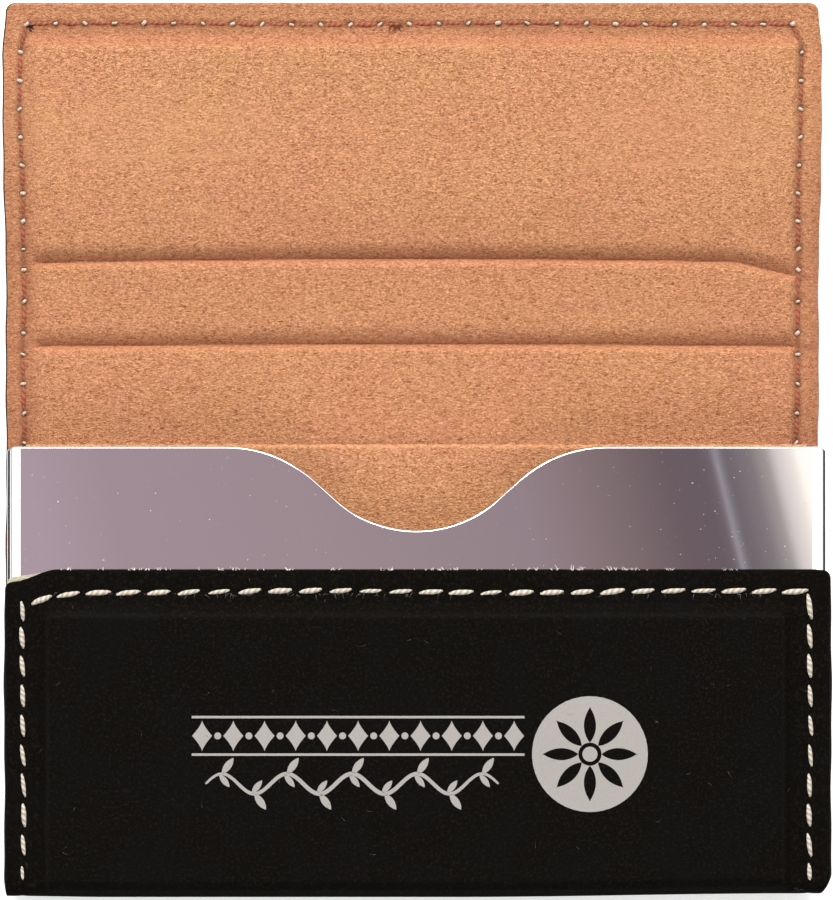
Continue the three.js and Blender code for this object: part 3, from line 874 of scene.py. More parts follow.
SUEDE = napped_suede()
LEATHERETTE = black_leatherette()
STEEL = mirror_steel()
CREAM_THREAD = spun_thread("cream_thread", "C9BFB1", "9C9182", 0.1)
BROWN_THREAD = spun_thread("brown_thread", "9E5C44", "7A3E2A")
KNOT_THREAD = spun_thread("knot_thread", "8F4F38", "6B3623")
LOOP_THREAD = spun_thread("loop_thread", "D9C7B4", "AE8B7A")
DARK_THREAD = spun_thread("dark_thread", "4A2B20", "24140F")
BLACK_THREAD = spun_thread("black_thread", "14100E", "080605")
LINT = spun_thread("lint", "8F8C88", "6A6764")
BACKING = spun_thread("backing_fibre", "F6F3EE", "E2DED6")
ENGRAVED = engraved_layer()
GREYBOARD = pressed_greyboard()
NICKEL = nickel_plate()


# ---- Wrap: leatherette outside, suede inside ----


def across_stations(step):
    """Sheet columns from -1 to 1: close together over the rims and seams, and `step` mm apart
    between them."""
    edge = stations((-HALF, -HALF + 0.4, 0.08), (-HALF + 0.4, -40.5, 0.24), (-40.5, 0, step))
    half = edge[:-1] / HALF
    return np.concatenate([half, [0.0], -half[::-1]])


def ride_or_bend(piece, bodies, nodes):
    """Fixes a finished piece to its body; a piece across two bodies at a crease keeps its place,
    baked into its mesh.
    """
    if len(bodies) == 1:
        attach(piece, bodies[0])
    else:
        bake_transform(piece)
    if nodes:
        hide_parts(*nodes)


def wrap_sheet(name, point, path, thickness, span, step, material, wear_and_light):
    """One stretch of the cover or the lining between two lengths along the wrap."""
    a = across_stations(step)[None, :]
    s = span[:, None]
    x = sheet_x(a, s, path, 0.0 if path is COVER_PATH else 0.13)
    face = point(x, s, 0.0)
    back = point(x, s, thickness)
    return sheet_piece(name, face, back, material, wear_and_light(x, s + 0 * x))


def cover_wear_and_highlight(x, s):
    """A painted highlight: a thin greyer line along the crest over the front board's edge. The cut
    edges are greyer too.
    """
    front, front_end = path_lengths(COVER_PATH)[3:]
    y = FRONT_EDGE_Y - (s - front_end)
    mask = front_mask(x, y)
    crest = bell(mask - 0.82, 0.14) * (s < front)
    edge = HALF - np.abs(x - skew(s, COVER_PATH))
    return {"rub": 0.2 * crest + 0.8 * (1 - smooth(edge, 0.05, 0.3))}


def lining_wear_and_shade(x, s):
    """Lighter where the closed case rubs: a line left by the sleeve's top edge on each side of
    the notch and a smooth patch beyond it. Darker and redder on the cut rims, in the seams and
    the creases. Painted shade darkens the slope inside the flap's end seam, which faces the
    light, and marks the needle holes and the threads' edges."""
    left = smooth(x, -42, -38) * smooth(-x, 16, 22) * bell(s - UPPER_S - 12.1, 0.28)
    right = smooth(x, 16, 22) * smooth(-x, -44, -40) * bell(s - UPPER_S - 11.2, 0.28)
    patch = smooth(np.abs(x), 10, 26) * bell(s - UPPER_S - 15.5, 4.2)
    rim = np.minimum(HALF - np.abs(x - BACK_SKEW), END_S - s)
    soil, holes = 0.45 * (1 - smooth(rim, 0.4, 3.0)), 0.0
    # Painted shade: darkens the slope inside the flap's end seam, which faces the light.
    soil = soil + 0.4 * bell(s - END_S + 4.5, 0.6) * smooth(rim, 3.2, 3.8)
    for across, inside, hole in sewing(x, s, LINING_PATH):
        soil = soil + 0.35 * inside * bell(across, 0.5)
        # Painted shade: a dark line along each thread's edges and a dark dot in each needle hole.
        holes = holes + inside * (0.8 * bell(across, 0.36) * hole**10 + 0.42 * bell(across, 0.36))
    groove = (1 - board_mask(x, s)) * smooth(rim, 2, 3)
    for upper in (False, True):
        groove = groove + bell(s - crease_line(x, upper), 0.3) * (1 - smooth(rim, 2, 3))
    soil = soil + 0.28 * (1 - smooth(s, UPPER_S - 1, UPPER_S + 12))
    front_end = path_lengths(LINING_PATH)[4]
    bare = (1 - smooth(s, front_end + 0.8, front_end + 1.2)) * smooth(-x, 40.5, 42)
    lightened = 0.5 * (left + right) + 0.22 * patch
    return {
        "rub": lightened,
        "soil": np.minimum(soil + 0.5 * groove, 1),
        "bare": bare,
        "hole": np.minimum(holes, 1),
    }


def body_span(path):
    """Lengths along the wrap from the front panel's top edge to the middle of the spine."""
    back, wall_low, wall_high, front, front_end = path_lengths(path)
    return stations(
        (front_end, front_end + 0.4, 0.1),
        (front_end + 0.4, front_end + 7, 0.25),
        (front_end + 7, front - 1, 0.6),
        (front - 1, wall_high, 0.2),
        (wall_high, wall_low, 0.6),
        (wall_low, back + 1, 0.25),
        (back + 1, 18, 1.2),
        (18, LOWER_S - 4, 0.4),
        (LOWER_S - 4, MID_S, 0.17),
    )


def flap_span():
    """Lengths along the wrap from the middle of the spine to the flap's free edge."""
    return stations(
        (MID_S, UPPER_S + 4, 0.17),
        (UPPER_S + 4, END_S - 5, 0.3),
        (END_S - 5, END_S - 1.5, 0.22),
        (END_S - 1.5, END_S, 0.12),
    )


def make_wrap():
    """The cover and the lining, each in two sheets that bend across a crease."""
    layers = (
        ("leatherette", "outer_cover", cover_point, COVER_PATH, COVER, LEATHERETTE, cover_wear_and_highlight),
        ("suede", "lining", lining_point, LINING_PATH, LINING, SUEDE, lining_wear_and_shade),
    )
    bodies, flaps = [], []
    for name, node, point, path, thick, material, wear_and_light in layers:
        body = wrap_sheet(name + "_body", point, path, thick, body_span(path), 0.7, material, wear_and_light)
        ride_or_bend(body, ("body", "spine"), (node + "_body", node + "_spine"))
        bodies.append((body, MID_S - path_lengths(path)[4]))
        flap = wrap_sheet(name + "_flap", point, path, thick, flap_span(), 0.4, material, wear_and_light)
        ride_or_bend(flap, ("spine", "flap"), (node + "_flap",))
        flaps.append((flap, END_S - MID_S))


# ---- Steel sleeve ----

NOTCH_HALF = 22.0
NOTCH_DEPTH = 9.7
NOTCH_SLOPE = math.radians(42)
NOTCH_FOOT = 14.0
STEEL_GAUGE = 0.4


def notch_depth(x):
    """How far the thumb notch comes down at x: a round shoulder, a straight slope, a round foot."""
    sin, cos = math.sin(NOTCH_SLOPE), math.cos(NOTCH_SLOPE)
    shoulder = (NOTCH_HALF * sin - NOTCH_DEPTH * cos) / (1 - cos) - NOTCH_FOOT
    u = np.abs(x)
    out = NOTCH_HALF - u
    on_shoulder = shoulder - np.sqrt(np.clip(shoulder**2 - np.clip(out, 0, None) ** 2, 0, None))
    on_foot = NOTCH_DEPTH - NOTCH_FOOT + np.sqrt(np.clip(NOTCH_FOOT**2 - u**2, 0, None))
    slope = shoulder * (1 - cos) + (out - shoulder * sin) * math.tan(NOTCH_SLOPE)
    depth = np.where(out < shoulder * sin, on_shoulder, slope)
    depth = np.where(u < NOTCH_FOOT * sin, on_foot, depth)
    return np.where(out > 0, depth, 0.0)


def make_sleeve():
    """The sleeve: a rounded rectangle in X and Z carried along Y, whose upper edge follows the
    notch. Its section is a loop: up the outer face, over the round edge, down the inner face."""
    radius = 1.6
    half = SLEEVE_HIGH[0] - radius
    low, high = SLEEVE_LOW[2] + radius, SLEEVE_HIGH[2] - radius
    plate = stations((half, half - 0.1, 0.1), (half - 0.1, 23, 1.2), (23, 0, 0.25))
    plate = np.concatenate([plate, -plate[-2::-1]])
    bend = np.linspace(0, math.pi / 2, 9)[1:-1]
    sides = np.linspace(high, low, 4)
    parts = [
        (plate, np.full(len(plate), high + radius), np.full(len(plate), math.pi / 2)),
        (-half - radius * np.sin(bend), high + radius * np.cos(bend), math.pi / 2 + bend),
        (np.full(4, -half - radius), sides, np.full(4, math.pi)),
        (-half - radius * np.cos(bend), low - radius * np.sin(bend), math.pi + bend),
        (-plate, np.full(len(plate), low - radius), np.full(len(plate), 1.5 * math.pi)),
        (half + radius * np.sin(bend), low - radius * np.cos(bend), 1.5 * math.pi + bend),
        (np.full(4, half + radius), sides[::-1], np.full(4, 0.0)),
        (half + radius * np.cos(bend), high + radius * np.sin(bend), bend),
    ]
    x, z, angle = (np.concatenate([part[i] for part in parts]) for i in range(3))
    nx, nz = np.cos(angle), np.sin(angle)
    is_front = (z > high) & (np.abs(x) <= NOTCH_HALF)
    drop = np.where(is_front, notch_depth(x), 0.35 * smooth(np.abs(x), half + 0.7, half + radius))
    spaced = x + np.arange(len(x)) * 1e-9  # keeps the gradient finite down the straight sides
    slope = np.where(is_front, np.gradient(drop, spaced), 0.0)
    slope = np.where(np.isfinite(slope), np.clip(slope, -1, 1), 0.0)
    level = 1 / np.sqrt(1 + slope**2)
    edge_r = STEEL_GAUGE / 2
    over = np.linspace(0, math.pi, 7)
    bottom, top = SLEEVE_LOW[1], SLEEVE_HIGH[1] - drop
    rise = np.array([0.0, 0.02, 0.5, 0.95, 1.0])[:, None]
    outer_y = bottom + edge_r + (top - edge_r * level - bottom - edge_r - 0.05) * rise
    rows = [(x, y, 0.0) for y in outer_y]
    for turn in over:
        reach = edge_r * math.sin(turn) - edge_r
        depth = edge_r * (1 - math.cos(turn))
        rows.append((x + slope * level * reach, top + level * reach, depth))
    rows += [(x, y, STEEL_GAUGE) for y in outer_y[::-1]]
    grid = np.stack([np.stack([rx - nx * d, ry, z - nz * d], axis=-1) for rx, ry, d in rows])
    quads = grid_quads(len(rows), len(x), close_rows=True, close_columns=True)
    points = grid.reshape(-1, 3)
    sleeve = mesh_piece("mirror_sleeve", points, outward(points, quads), STEEL, sharp=50)
    ride_or_bend(sleeve, ("body",), ("card_sleeve",))


def make_pocket_pad():
    """The suede pad on the sleeve's back plate, its cut edge a little frayed and laid over the
    plate's edge, with a painted highlight along that edge."""
    x = np.linspace(PAD_LOW[0], PAD_HIGH[0], 240)[None, :]
    edge = SLEEVE_HIGH[1] + 0.28
    y = stations((PAD_LOW[1], 4, 1.5), (4, edge - 1, 0.3), (edge - 1, edge, 0.1))[:, None]
    frayed = y + 0.06 * np.sin(x * 3.1) * smooth(y, edge - 1, edge)
    top = PAD_HIGH[2] + ripples(x, y, 14, 6, 0.05) - 0.05 - 0.25 * smooth(y, edge - 0.5, edge)
    face = np.stack(np.broadcast_arrays(x, frayed, top), axis=-1)
    under = PAD_LOW[2] - 0.04 + 0 * x + 0 * y
    back = np.stack(np.broadcast_arrays(x, frayed, under), axis=-1)
    # Painted highlight: a thin lighter line along the pad's edge, where it steps down over the
    # plate.
    light = bell(y - edge + 0.15, 0.15) + 0 * x
    wear_and_light = {"rub": 0.45 * light, "soil": 0.1 + 0 * light}
    pad = sheet_piece("suede_pocket_pad", face, back, SUEDE, wear_and_light)
    ride_or_bend(pad, ("body",), ("pocket_lining",))


# ---- Sewing ----


def stitch_solids(starts, ends, normals, width, height, bury, slant, seed, uneven=0.12):
    """One tapered, slightly flattened stitch from each start to each end.

    Along a stitch, t runs 0 to 1: the half width is sin(pi t)^0.65 times its full size, the
    middle stands `height` above the sheet and the ends dip `bury` below it. The twist of the
    thread bends it into a slight S."""
    random = np.random.default_rng(seed)
    count, rings, around = len(starts), 9, 8
    t = np.linspace(0.02, 0.98, rings)
    angle = np.linspace(0, 2 * math.pi, around, endpoint=False)
    along = ends - starts
    length = np.linalg.norm(along, axis=1, keepdims=True)
    direction = along / length
    side = np.cross(normals, direction)
    tilt = slant + random.uniform(-0.05, 0.05, count)[:, None]
    direction = direction * np.cos(tilt) + side * np.sin(tilt)
    side = np.cross(normals, direction)
    size = random.uniform(1 - uneven, 1 + uneven, count)[:, None, None]
    stretch = random.uniform(0.98, 1.1, count)[:, None]
    swell = np.sin(math.pi * t) ** 0.65
    run = direction * length * stretch
    spine = (starts + ends)[:, None, :] / 2 + run[:, None, :] * (t - 0.5)[None, :, None]
    lift = (height + bury) * np.sin(math.pi * t) ** 0.6 - bury
    spine = spine + normals[:, None, :] * lift[None, :, None]
    twist = 0.12 * width * np.sin(2 * math.pi * t)
    spine = spine + side[:, None, :] * twist[None, :, None]
    ring_side = side[:, None, None, :] * (np.cos(angle) * width / 2)[None, None, :, None]
    ring_up = normals[:, None, None, :] * (np.sin(angle) * width * 0.36)[None, None, :, None]
    ring = (ring_side + ring_up) * (swell[None, :, None, None] * size[..., None])
    points = spine[:, :, None, :] + ring
    v = np.broadcast_to(angle / (2 * math.pi), (count, rings, around))
    u = np.broadcast_to((t * 3)[None, :, None], (count, rings, around))
    uv = np.stack([u, v], axis=-1).reshape(-1, 2)
    return points.reshape(-1, 3), tube_quads(rings, around, count), uv


def surface_frames(point, x, s, depth=0.0):
    """Places on a sheet's face and the normals there, by differences of its formula."""
    tiny = 0.02
    here = point(x, s, depth)
    along = point(x, s + tiny, depth) - point(x, s - tiny, depth)
    across = point(x + tiny, s, depth) - point(x - tiny, s, depth)
    normal = np.cross(across, along)
    normal /= np.linalg.norm(normal, axis=1, keepdims=True)
    under = point(x, s, depth + 0.1)
    flip = np.sign(np.einsum("ij,ij->i", normal, here - under))[:, None]
    return here, normal * flip


def seam_points(path, body, side):
    """The holes of one run of the seam on a body, as (x, s): side -1 or 1, or 0 for the row."""
    if side == 0:
        front = body == "body"
        x = row_holes(path, front)
        x[0] += 0.8 if front else 0.0
        return x, row_of(path, front) + row_sag(x, front) + 0.12 * np.sin(x / 7.0)
    s = column_holes(path)[("body", "spine", "flap").index(body)]
    return seam_x(s, side) + skew(s, path), s


def sewn_piece(name, point, runs, look, material, seed):
    """The stitches of several runs of holes on one sheet, as one piece."""
    parts = []
    for k, (x, s) in enumerate(runs):
        place, normal = surface_frames(point, x, s)
        middle = (normal[1:] + normal[:-1]) / 2
        parts.append(stitch_solids(place[:-1], place[1:], middle, seed=seed + k, **look))
    points, quads, uv = join_meshes(parts)
    return mesh_piece(name, points, outward(points, quads), material, sharp=80, uv=uv)


NEEDLE_LOOK = {"width": 0.6, "height": 0.13, "bury": 0.2, "slant": 0.19, "uneven": 0.2}
BOBBIN_LOOK = {"width": 0.56, "height": 0.09, "bury": 0.14, "slant": 0.06, "uneven": 0.2}
LOOP_LOOK = {"width": 0.42, "height": 0.13, "bury": 0.1, "slant": 0.0, "uneven": 0.25}


def make_stitches():
    """The cream needle thread on the outside and the brown bobbin thread on the lining: up one
    side, across the row and up the other side, and on the spine the two sides only."""
    threads = (
        ("needle", cover_point, COVER_PATH, NEEDLE_LOOK, CREAM_THREAD, 21),
        ("bobbin", lining_point, LINING_PATH, BOBBIN_LOOK, BROWN_THREAD, 51),
    )
    for thread, point, path, look, material, seed in threads:
        for k, body in enumerate(("body", "spine", "flap")):
            sides = (-1, 1) if body == "spine" else (-1, 0, 1)
            runs = [seam_points(path, body, side) for side in sides]
            name = f"{thread}_stitches_{body}"
            piece = sewn_piece(name, point, runs, look, material, seed + 10 * k)
            ends = ("_left", "_right") if body == "spine" else ("",)
            nodes = tuple(f"{body}_{thread}_thread{end}" for end in ends)
            ride_or_bend(piece, (body,), nodes)


def make_needle_loops():
    """Where the needle thread comes through the lining it shows as a pale bead in each hole."""
    for body, sides in (("body", (-1, 1)), ("spine", (-1, 1)), ("flap", (-1, 0, 1))):
        parts = []
        for k, side in enumerate(sides):
            place, normal = surface_frames(lining_point, *seam_points(LINING_PATH, body, side))
            shown = (place[:, 1] > SLEEVE_HIGH[1] - 3) | (body != "body")
            place, normal = place[shown], normal[shown]
            lean = 0.5 + 0.7 * np.sin(np.arange(len(place)) * 1.7 + k)
            ahead = np.stack([np.cos(lean), np.sin(lean), 0 * lean], axis=1)
            along = np.cross(np.cross(normal, ahead), normal)
            along /= np.linalg.norm(along, axis=1, keepdims=True)
            reach = 0.28 + 0.16 * np.abs(np.sin(np.arange(len(place)) * 2.4 + k))[:, None]
            ends = place - along * reach, place + along * reach
            parts.append(stitch_solids(*ends, normal, seed=81 + k, **LOOP_LOOK))
        points, quads, uv = join_meshes(parts)
        quads = outward(points, quads)
        loops = mesh_piece("needle_loops_" + body, points, quads, LOOP_THREAD, sharp=80, uv=uv)
        ride_or_bend(loops, (body,), ())


# ---- Loose fibres, knots and frayed backing ----


def fibre_solids(roots, directions, normals, lengths, width, curl, seed):
    """Fine curled fibres: each runs from its root along its direction, bending sideways by
    curl t^2 and lifting off the sheet by a shallow arch, as a four-sided tapering tube."""
    random = np.random.default_rng(seed)
    count, rings, around = len(roots), 7, 4
    t = np.linspace(0, 1, rings)[None, :, None]
    side = np.cross(normals, directions)
    bend = random.uniform(-curl, curl, count)[:, None, None]
    arch = random.uniform(0.05, 0.35, count)[:, None, None]
    size = lengths[:, None, None]
    line = roots[:, None, :] + directions[:, None, :] * size * t
    line = line + side[:, None, :] * size * bend * t**2
    line = line + normals[:, None, :] * size * arch * t * (1.2 - t)
    angle = np.linspace(0, 2 * math.pi, around, endpoint=False)[None, None, :, None]
    taper = (width / 2 * (1 - 0.6 * t))[..., None]
    ring = side[:, None, None, :] * np.cos(angle) + normals[:, None, None, :] * np.sin(angle)
    points = line[:, :, None, :] + ring * taper
    return points.reshape(-1, 3), tube_quads(rings, around, count)


def fibre_piece(name, point, x, s, angle, length, look, body, seed):
    """Fibres rooted at (x, s) on a sheet, each laid at its own angle in the sheet. The look is
    their width, their curl and their material."""
    width, curl, material = look
    place, normal = surface_frames(point, x, s)
    ahead = point(x, s + 0.05, 0.0) - place
    ahead /= np.linalg.norm(ahead, axis=1, keepdims=True)
    across = np.cross(ahead, normal)
    direction = across * np.cos(angle)[:, None] + ahead * np.sin(angle)[:, None]
    roots = place + normal * 0.01
    points, quads = fibre_solids(roots, direction, normal, length, width, curl, seed)
    piece = mesh_piece(name, points, outward(points, quads), material, sharp=80)
    ride_or_bend(piece, (body,), ())


def make_front_fibres(random):
    """Lint on the black nap, fuzz teased out of the front row's stitches, and the cream backing
    frayed along the front panel's cut edge, longest right of its middle."""
    front_end = path_lengths(COVER_PATH)[4]
    count = 45
    x = random.uniform(-45, 45, count)
    s = front_end + random.uniform(0.5, 34, count)
    angle = random.uniform(0, 2 * math.pi, count)
    length = random.uniform(0.15, 0.8, count)
    look = (0.03, 0.9, LINT)
    fibre_piece("lint", cover_point, x, s, angle, length, look, "body", 6)
    count = 90
    x = random.uniform(-43, 44, count)
    s = front_end + 2.5 + random.uniform(0.1, 0.35, count)
    angle = random.uniform(0.1, math.pi - 0.1, count)
    length = random.uniform(0.25, 0.8, count)
    look = (0.045, 0.8, LINT)
    fibre_piece("stitch_fuzz", cover_point, x, s, angle, length, look, "body", 7)
    x = random.uniform(-41, 37, 170)
    x = x[(np.sin(x * 0.55) + np.sin(x * 1.7 + 1)) > -0.55]
    s = front_end + random.uniform(0.0, 0.06, len(x))
    angle = -math.pi / 2 + random.uniform(-0.9, 0.9, len(x))
    length = random.uniform(0.12, 0.42, len(x)) + 0.45 * bell(x - 18, 6) * random.random(len(x))
    look = (0.07, 0.5, BACKING)
    fibre_piece("frayed_backing", cover_point, x, s, angle, length, look, "body", 8)


def make_knots(random):
    """Tangles of thread: the brown thread's knot on the flap's end row, its tail in the corner,
    and the melted knot of black thread that finishes the seam at the bottom fold."""
    fold = path_lengths(COVER_PATH)[3] + 1.1
    any_way, up_right = (0, 2 * math.pi), (-0.6, 1.6)
    brown, dark = (0.1, 1.0, KNOT_THREAD), (0.15, 0.6, DARK_THREAD)
    black = (0.26, 0.8, BLACK_THREAD)
    tangles = (
        ("knot", "flap", 34, (-2.5, END_S - 2.6), (0.22, 0.18), any_way, (0.3, 0.9), brown),
        ("thread_tail", "flap", 16, (-44.9, END_S - 2.9), (0.2, 0.16), up_right, (0.25, 0.6), dark),
        ("finishing_knot", "body", 18, (43.9, fold), (0.2, 0.15), any_way, (0.2, 0.45), black),
    )
    for k, (name, body, count, middle, spread, angles, lengths, look) in enumerate(tangles):
        x = middle[0] + random.normal(0, spread[0], count)
        s = middle[1] + random.normal(0, spread[1], count)
        angle = random.uniform(*angles, count)
        length = random.uniform(*lengths, count)
        inside = body == "flap"
        point = lining_point if inside else cover_point
        fibre_piece(name, point, x, s, angle, length, look, body, 9 + k)


# ---- Laser engraving: a band of lozenges, a leafy scroll and a rosette ----


def on_front_panel(x, y):
    """Lays flat outlines on the front panel, a hair above its skin."""
    front_end = path_lengths(COVER_PATH)[4]
    return cover_point(x, front_end + FRONT_EDGE_Y - y, -0.02)


def patch(x, y):
    """A grid of flat points laid on the panel, with its quads."""
    rows, columns = x.shape
    return on_front_panel(x, y).reshape(-1, 3), grid_quads(rows, columns)


def lozenge(cx, cy, half_width, half_height):
    """A lozenge with hollow sides: |x| = w (1 - |t|)^1.35 for t from -1 to 1 along its height."""
    t = np.linspace(-1, 1, 15)[:, None]
    a = np.linspace(-1, 1, 5)[None, :]
    return patch(cx + a * half_width * (1 - np.abs(t)) ** 1.35, cy + t * half_height + 0 * a)


def disc(cx, cy, r0, r1, start=0.0, end=2 * math.pi, steps=48):
    """A ring or disc: radii r0 to r1, angles start to end."""
    angle = np.linspace(start, end, steps)[:, None]
    r = np.linspace(r0, r1, 3)[None, :]
    return patch(cx + r * np.cos(angle), cy + r * np.sin(angle))


def leaf(cx, cy, length, width, angle):
    """A leaf: its half width is w sin(pi t)^0.8 along its length."""
    t = np.linspace(0, 1, 13)[:, None]
    a = np.linspace(-1, 1, 5)[None, :]
    u, v = t * length + 0 * a, a * width / 2 * np.sin(math.pi * t) ** 0.8
    c, s = math.cos(angle), math.sin(angle)
    return patch(cx + u * c - v * s, cy + u * s + v * c)


def ribbon(x, y, width):
    """A line of varying width: the path's points moved either way along its normal."""
    dx, dy = np.gradient(x), np.gradient(y)
    size = np.hypot(dx, dy)
    a = np.linspace(-0.5, 0.5, 3)[None, :] * width[:, None]
    return patch(x[:, None] - a * (dy / size)[:, None], y[:, None] + a * (dx / size)[:, None])


def rosette(cx, cy, radius):
    """A disc with eight dark petals left out: a hub, a rim, and between them eight fields whose
    sides are the petals' edges."""
    parts = [disc(cx, cy, 0.0, 0.13 * radius), disc(cx, cy, 0.86 * radius, radius)]
    r = np.linspace(0.2, 0.86, 18)[:, None] * radius
    t = np.linspace(0, 1, 7)[None, :]
    along = np.clip((r / radius - 0.2) / 0.6, 0, 1)
    petal = 0.105 * radius * np.sin(math.pi * along) ** 0.8 / r
    gap = math.pi / 4
    for k in range(8):
        angle = k * gap + petal + t * (gap - 2 * petal)
        parts.append(patch(cx + r * np.cos(angle), cy + r * np.sin(angle)))
    return parts


def make_engraving():
    """The ornament: eleven lozenges with dots between two rules, a stem that waves four and a
    half times with a pair of leaves at each crest, and the rosette, all as one thin film."""
    parts = []
    band_y, left, right = -13.2, -24.6, 11.2
    centres = np.linspace(left, right, 11)
    for k, cx in enumerate(centres):
        parts.append(lozenge(cx, band_y, 1.15, 1.75))
        if k < len(centres) - 1:
            parts.append(disc(cx + (centres[1] - centres[0]) / 2, band_y, 0.0, 0.4, steps=20))
    for y in (band_y + 2.15, band_y - 2.15):
        line = np.linspace(left - 1.2, right + 1.2, 60)
        parts.append(ribbon(line, np.full(60, y), np.full(60, 0.28)))
    t = np.linspace(0, 1, 240)
    waves, scroll_x, scroll_y, scroll_length = 4.5, -24.2, -18.7, 33.6
    stem_x = scroll_x + scroll_length * t
    stem_y = scroll_y + 1.15 * np.sin(2 * math.pi * waves * t)
    parts.append(ribbon(stem_x, stem_y, 0.22 + 0.26 * np.sin(math.pi * t) ** 0.5))
    for k in range(int(2 * waves)):
        at = (k + 0.5) / (2 * waves)
        up = 1 if k % 2 == 0 else -1
        x = scroll_x + scroll_length * at
        y = scroll_y + up * 1.1
        parts.append(leaf(x, y, 2.3, 0.85, up * 0.95))
        parts.append(leaf(x - 0.3, y, 1.9, 0.7, up * -0.9))
    parts += rosette(19.9, -15.3, 6.65)
    points, quads = join_meshes(parts)
    a, b, c = (points[quads[:, i]] for i in range(3))
    down = np.cross(b - a, c - a)[:, 2] < 0
    quads[down] = quads[down][:, ::-1]
    engraving = mesh_piece("engraved_ornament", points, quads, ENGRAVED)
    engraving.data.polygons.foreach_set("use_smooth", np.zeros(len(quads), bool))
    thick = engraving.modifiers.new("film", "SOLIDIFY")
    thick.thickness = 0.012 * MM
    thick.offset = -1
    ride_or_bend(engraving, ("body",), ())


# ---- Hidden pieces keep their CAD shape ----


def finish_hidden_pieces():
    """Gives the boards and magnets inside the wrap their materials."""
    boards = ("front_board", "bottom_board", "back_board", "spine_board", "flap_board")
    looks = {name: GREYBOARD for name in boards}
    looks.update({"flap_magnet_left": NICKEL, "flap_magnet_right": NICKEL})
    for name, material in looks.items():
        node = frame["nodes"][name]
        node.data.materials.clear()
        node.data.materials.append(material)


# ---- Stage, light and camera ----

CAMERA_HEIGHT = 430.0
CAMERA_Y = 19.6
LENS = 146.2
OVERHEAD_Z = 760.0  # of the cards that the steel mirrors
SLANT = 0.25  # of their bright line: X to the left for each millimetre of Y


def plain_material(name, colour, glow=None):
    """A dull card or cloth of one colour, which may also glow."""
    material, _, shader, _ = new_material(name)
    shader.inputs["Base Color"].default_value = tone(colour)
    shader.inputs["Roughness"].default_value = 0.9
    if glow is not None:
        shader.inputs["Emission Color"].default_value = tone(colour)
        shader.inputs["Emission Strength"].default_value = glow
    return material


def panel(name, corners, material):
    """A stage piece of one face, with its corners in millimetres."""
    piece = mesh_piece(name, np.array(corners, float), np.array([[0, 1, 2, 3]]), material)
    return piece


def level_panel(name, x, y, z, material):
    """A level rectangle between two X and two Y."""
    corners = [(x[0], y[0], z), (x[1], y[0], z), (x[1], y[1], z), (x[0], y[1], z)]
    return panel(name, corners, material)


def standing_panel(name, x, y, z, material):
    """An upright rectangle across X, between two Y and two Z."""
    corners = [(x, y[0], z[1]), (x, y[1], z[1]), (x, y[1], z[0]), (x, y[0], z[0])]
    return panel(name, corners, material)


def only_mirrored(card):
    """Leaves a card or flag to the steel alone: it neither shows nor shades the table."""
    card.visible_camera = False
    card.visible_diffuse = False
    card.visible_shadow = False


# What the steel mirrors: colours across the ceiling card, at X in millimetres.
MIRRORED = (
    (-128, "A6959F"),
    (-102, "9C8B93"),
    (-38, "99888F"),
    (30, "908087"),
    (56, "7E6E71"),
    (79, "685B61"),
    (90, "665A60"),
    (93.7, "6E6369"),
    (95, "9A949D"),
    (96, "857F88"),
    (98, "6C6369"),
    (106, "7C7679"),
    (111.5, "9D9796"),
    (114.5, "CCC4C4"),
    (119.7, "E8E1DA"),
    (122, "FFFAF4"),
)


def ceiling_card():
    """A graded card high above the table, for the mirror to look at: mauve grey on the left,
    darker to the right, then a thin slanting bright line and a rise to white. The colour at
    (x, y) is the ramp's at x + SLANT (y - 20.7)."""
    material, tree, shader, place = new_material("ceiling_card")
    axes = put(tree, "SeparateXYZ", links={0: place})
    slanted = put(
        tree,
        "Math",
        {"operation": "MULTIPLY_ADD"},
        {1: SLANT},
        {0: axes.outputs["Y"], 2: axes.outputs["X"]},
    )
    low, high = -140.0, 140.0
    shift = SLANT * 20.7
    along = put(
        tree,
        "MapRange",
        values={"From Min": (low + shift) * MM, "From Max": (high + shift) * MM},
        links={"Value": slanted.outputs[0]},
    )
    ramp = put(tree, "ValToRGB", links={0: along.outputs[0]})
    elements = ramp.color_ramp.elements
    while len(elements) > 1:
        elements.remove(elements[0])
    elements[0].position = (MIRRORED[-1][0] - low) / (high - low)
    elements[0].color = tone(MIRRORED[-1][1])
    for at, colour in MIRRORED[:-1]:
        elements.new((at - low) / (high - low)).color = tone(colour)
    tree.links.new(ramp.outputs[0], shader.inputs["Emission Color"])
    shader.inputs["Emission Strength"].default_value = 1.6
    shader.inputs["Base Color"].default_value = (0, 0, 0, 1)
    shader.inputs["Specular IOR Level"].default_value = 0.0
    card = level_panel("ceiling_card", (-150, 150), (-90, 120), OVERHEAD_Z, material)
    card.visible_camera = False


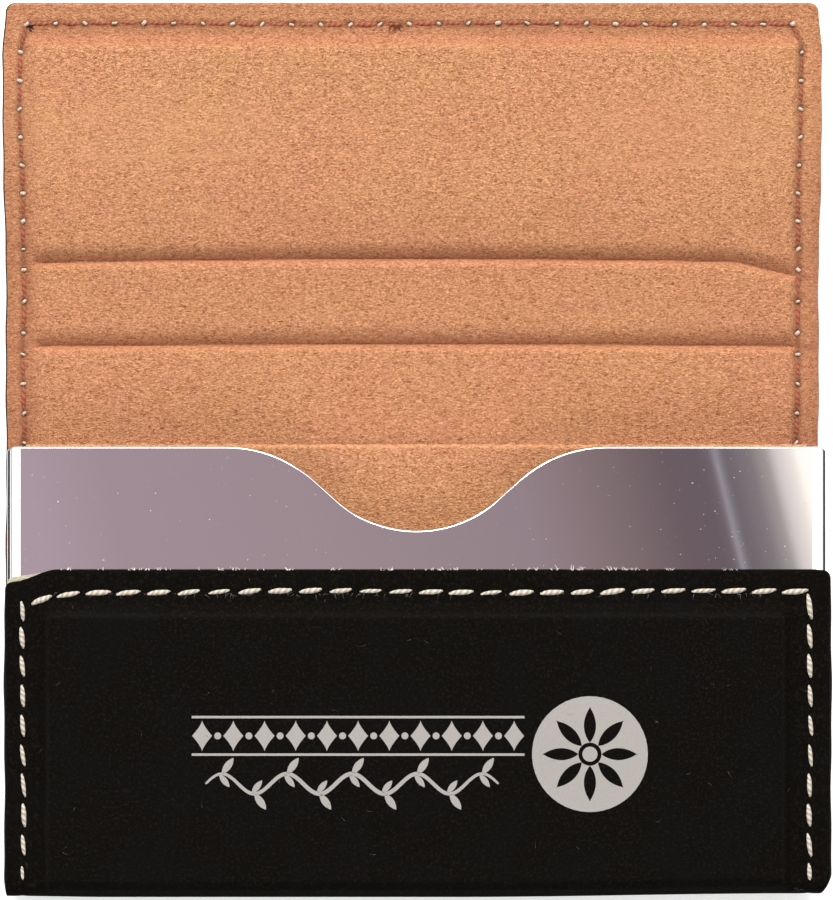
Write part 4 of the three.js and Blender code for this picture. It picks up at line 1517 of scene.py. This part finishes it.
def area_light(name, place, target, size, power):
    """A white softbox at one place, in millimetres, turned towards another."""
    light = bpy.data.lights.new(name, "AREA")
    light.shape = "RECTANGLE"
    light.size, light.size_y = size[0] * MM, size[1] * MM
    light.energy = power
    lamp = bpy.data.objects.new(name, light)
    bpy.context.scene.collection.objects.link(lamp)
    at = np.array(place, float)
    lamp.location = at * MM
    lamp.rotation_mode = "QUATERNION"
    lamp.rotation_quaternion = Vector(np.array(target, float) - at).to_track_quat("-Z", "Y")


def make_stage():
    """A white table under a large window and a weaker fill, in a pale room, and the cards, walls
    and flags that only the steel sees."""
    paper = plain_material("white_table", "F7F7F7", 0.3)
    level_panel("table", (-1500, 1500), (-1500, 1500), -0.15, paper)
    ceiling_card()
    white = plain_material("white_card", "FFFFFF", 1.3)
    only_mirrored(level_panel("left_card", (-900, -150), (-250, 1200), OVERHEAD_Z, white))
    only_mirrored(level_panel("right_card", (150, 900), (-250, 1200), OVERHEAD_Z, white))
    only_mirrored(standing_panel("left_wall", -800, (-250, 1200), (160, 760), white))
    only_mirrored(standing_panel("right_wall", 800, (-250, 1200), (40, 760), white))
    black = plain_material("black_flag", "060606")
    only_mirrored(level_panel("left_flag", (-84, -52), (-34, 40), 0.3, black))
    only_mirrored(level_panel("right_flag", (52, 84), (-34, 40), 0.3, black))
    area_light("window", (-60, 620, 480), (0, 20, 0), (700, 420), 11.6)
    area_light("fill", (0, -520, 520), (0, 20, 0), (600, 400), 2.2)
    world = bpy.data.worlds.new("studio")
    world.use_nodes = True
    world.node_tree.nodes["Background"].inputs["Color"].default_value = (1, 1, 1, 1)
    world.node_tree.nodes["Background"].inputs["Strength"].default_value = 0.42
    bpy.context.scene.world = world
    bpy.context.scene.view_settings.view_transform = "Standard"


def make_camera():
    """The camera looks straight down on the open case."""
    data = bpy.data.cameras.new("overhead")
    data.lens = LENS
    data.sensor_width = 36
    data.clip_start, data.clip_end = 0.01, 10
    camera = bpy.data.objects.new("overhead", data)
    bpy.context.scene.collection.objects.link(camera)
    camera.location = (0, CAMERA_Y * MM, CAMERA_HEIGHT * MM)
    bpy.context.scene.camera = camera


make_camera()
make_stage()
make_wrap()
make_sleeve()
make_pocket_pad()
make_stitches()
make_needle_loops()
strewn = np.random.default_rng(5)
make_front_fibres(strewn)
make_knots(strewn)
make_engraving()
finish_hidden_pieces()
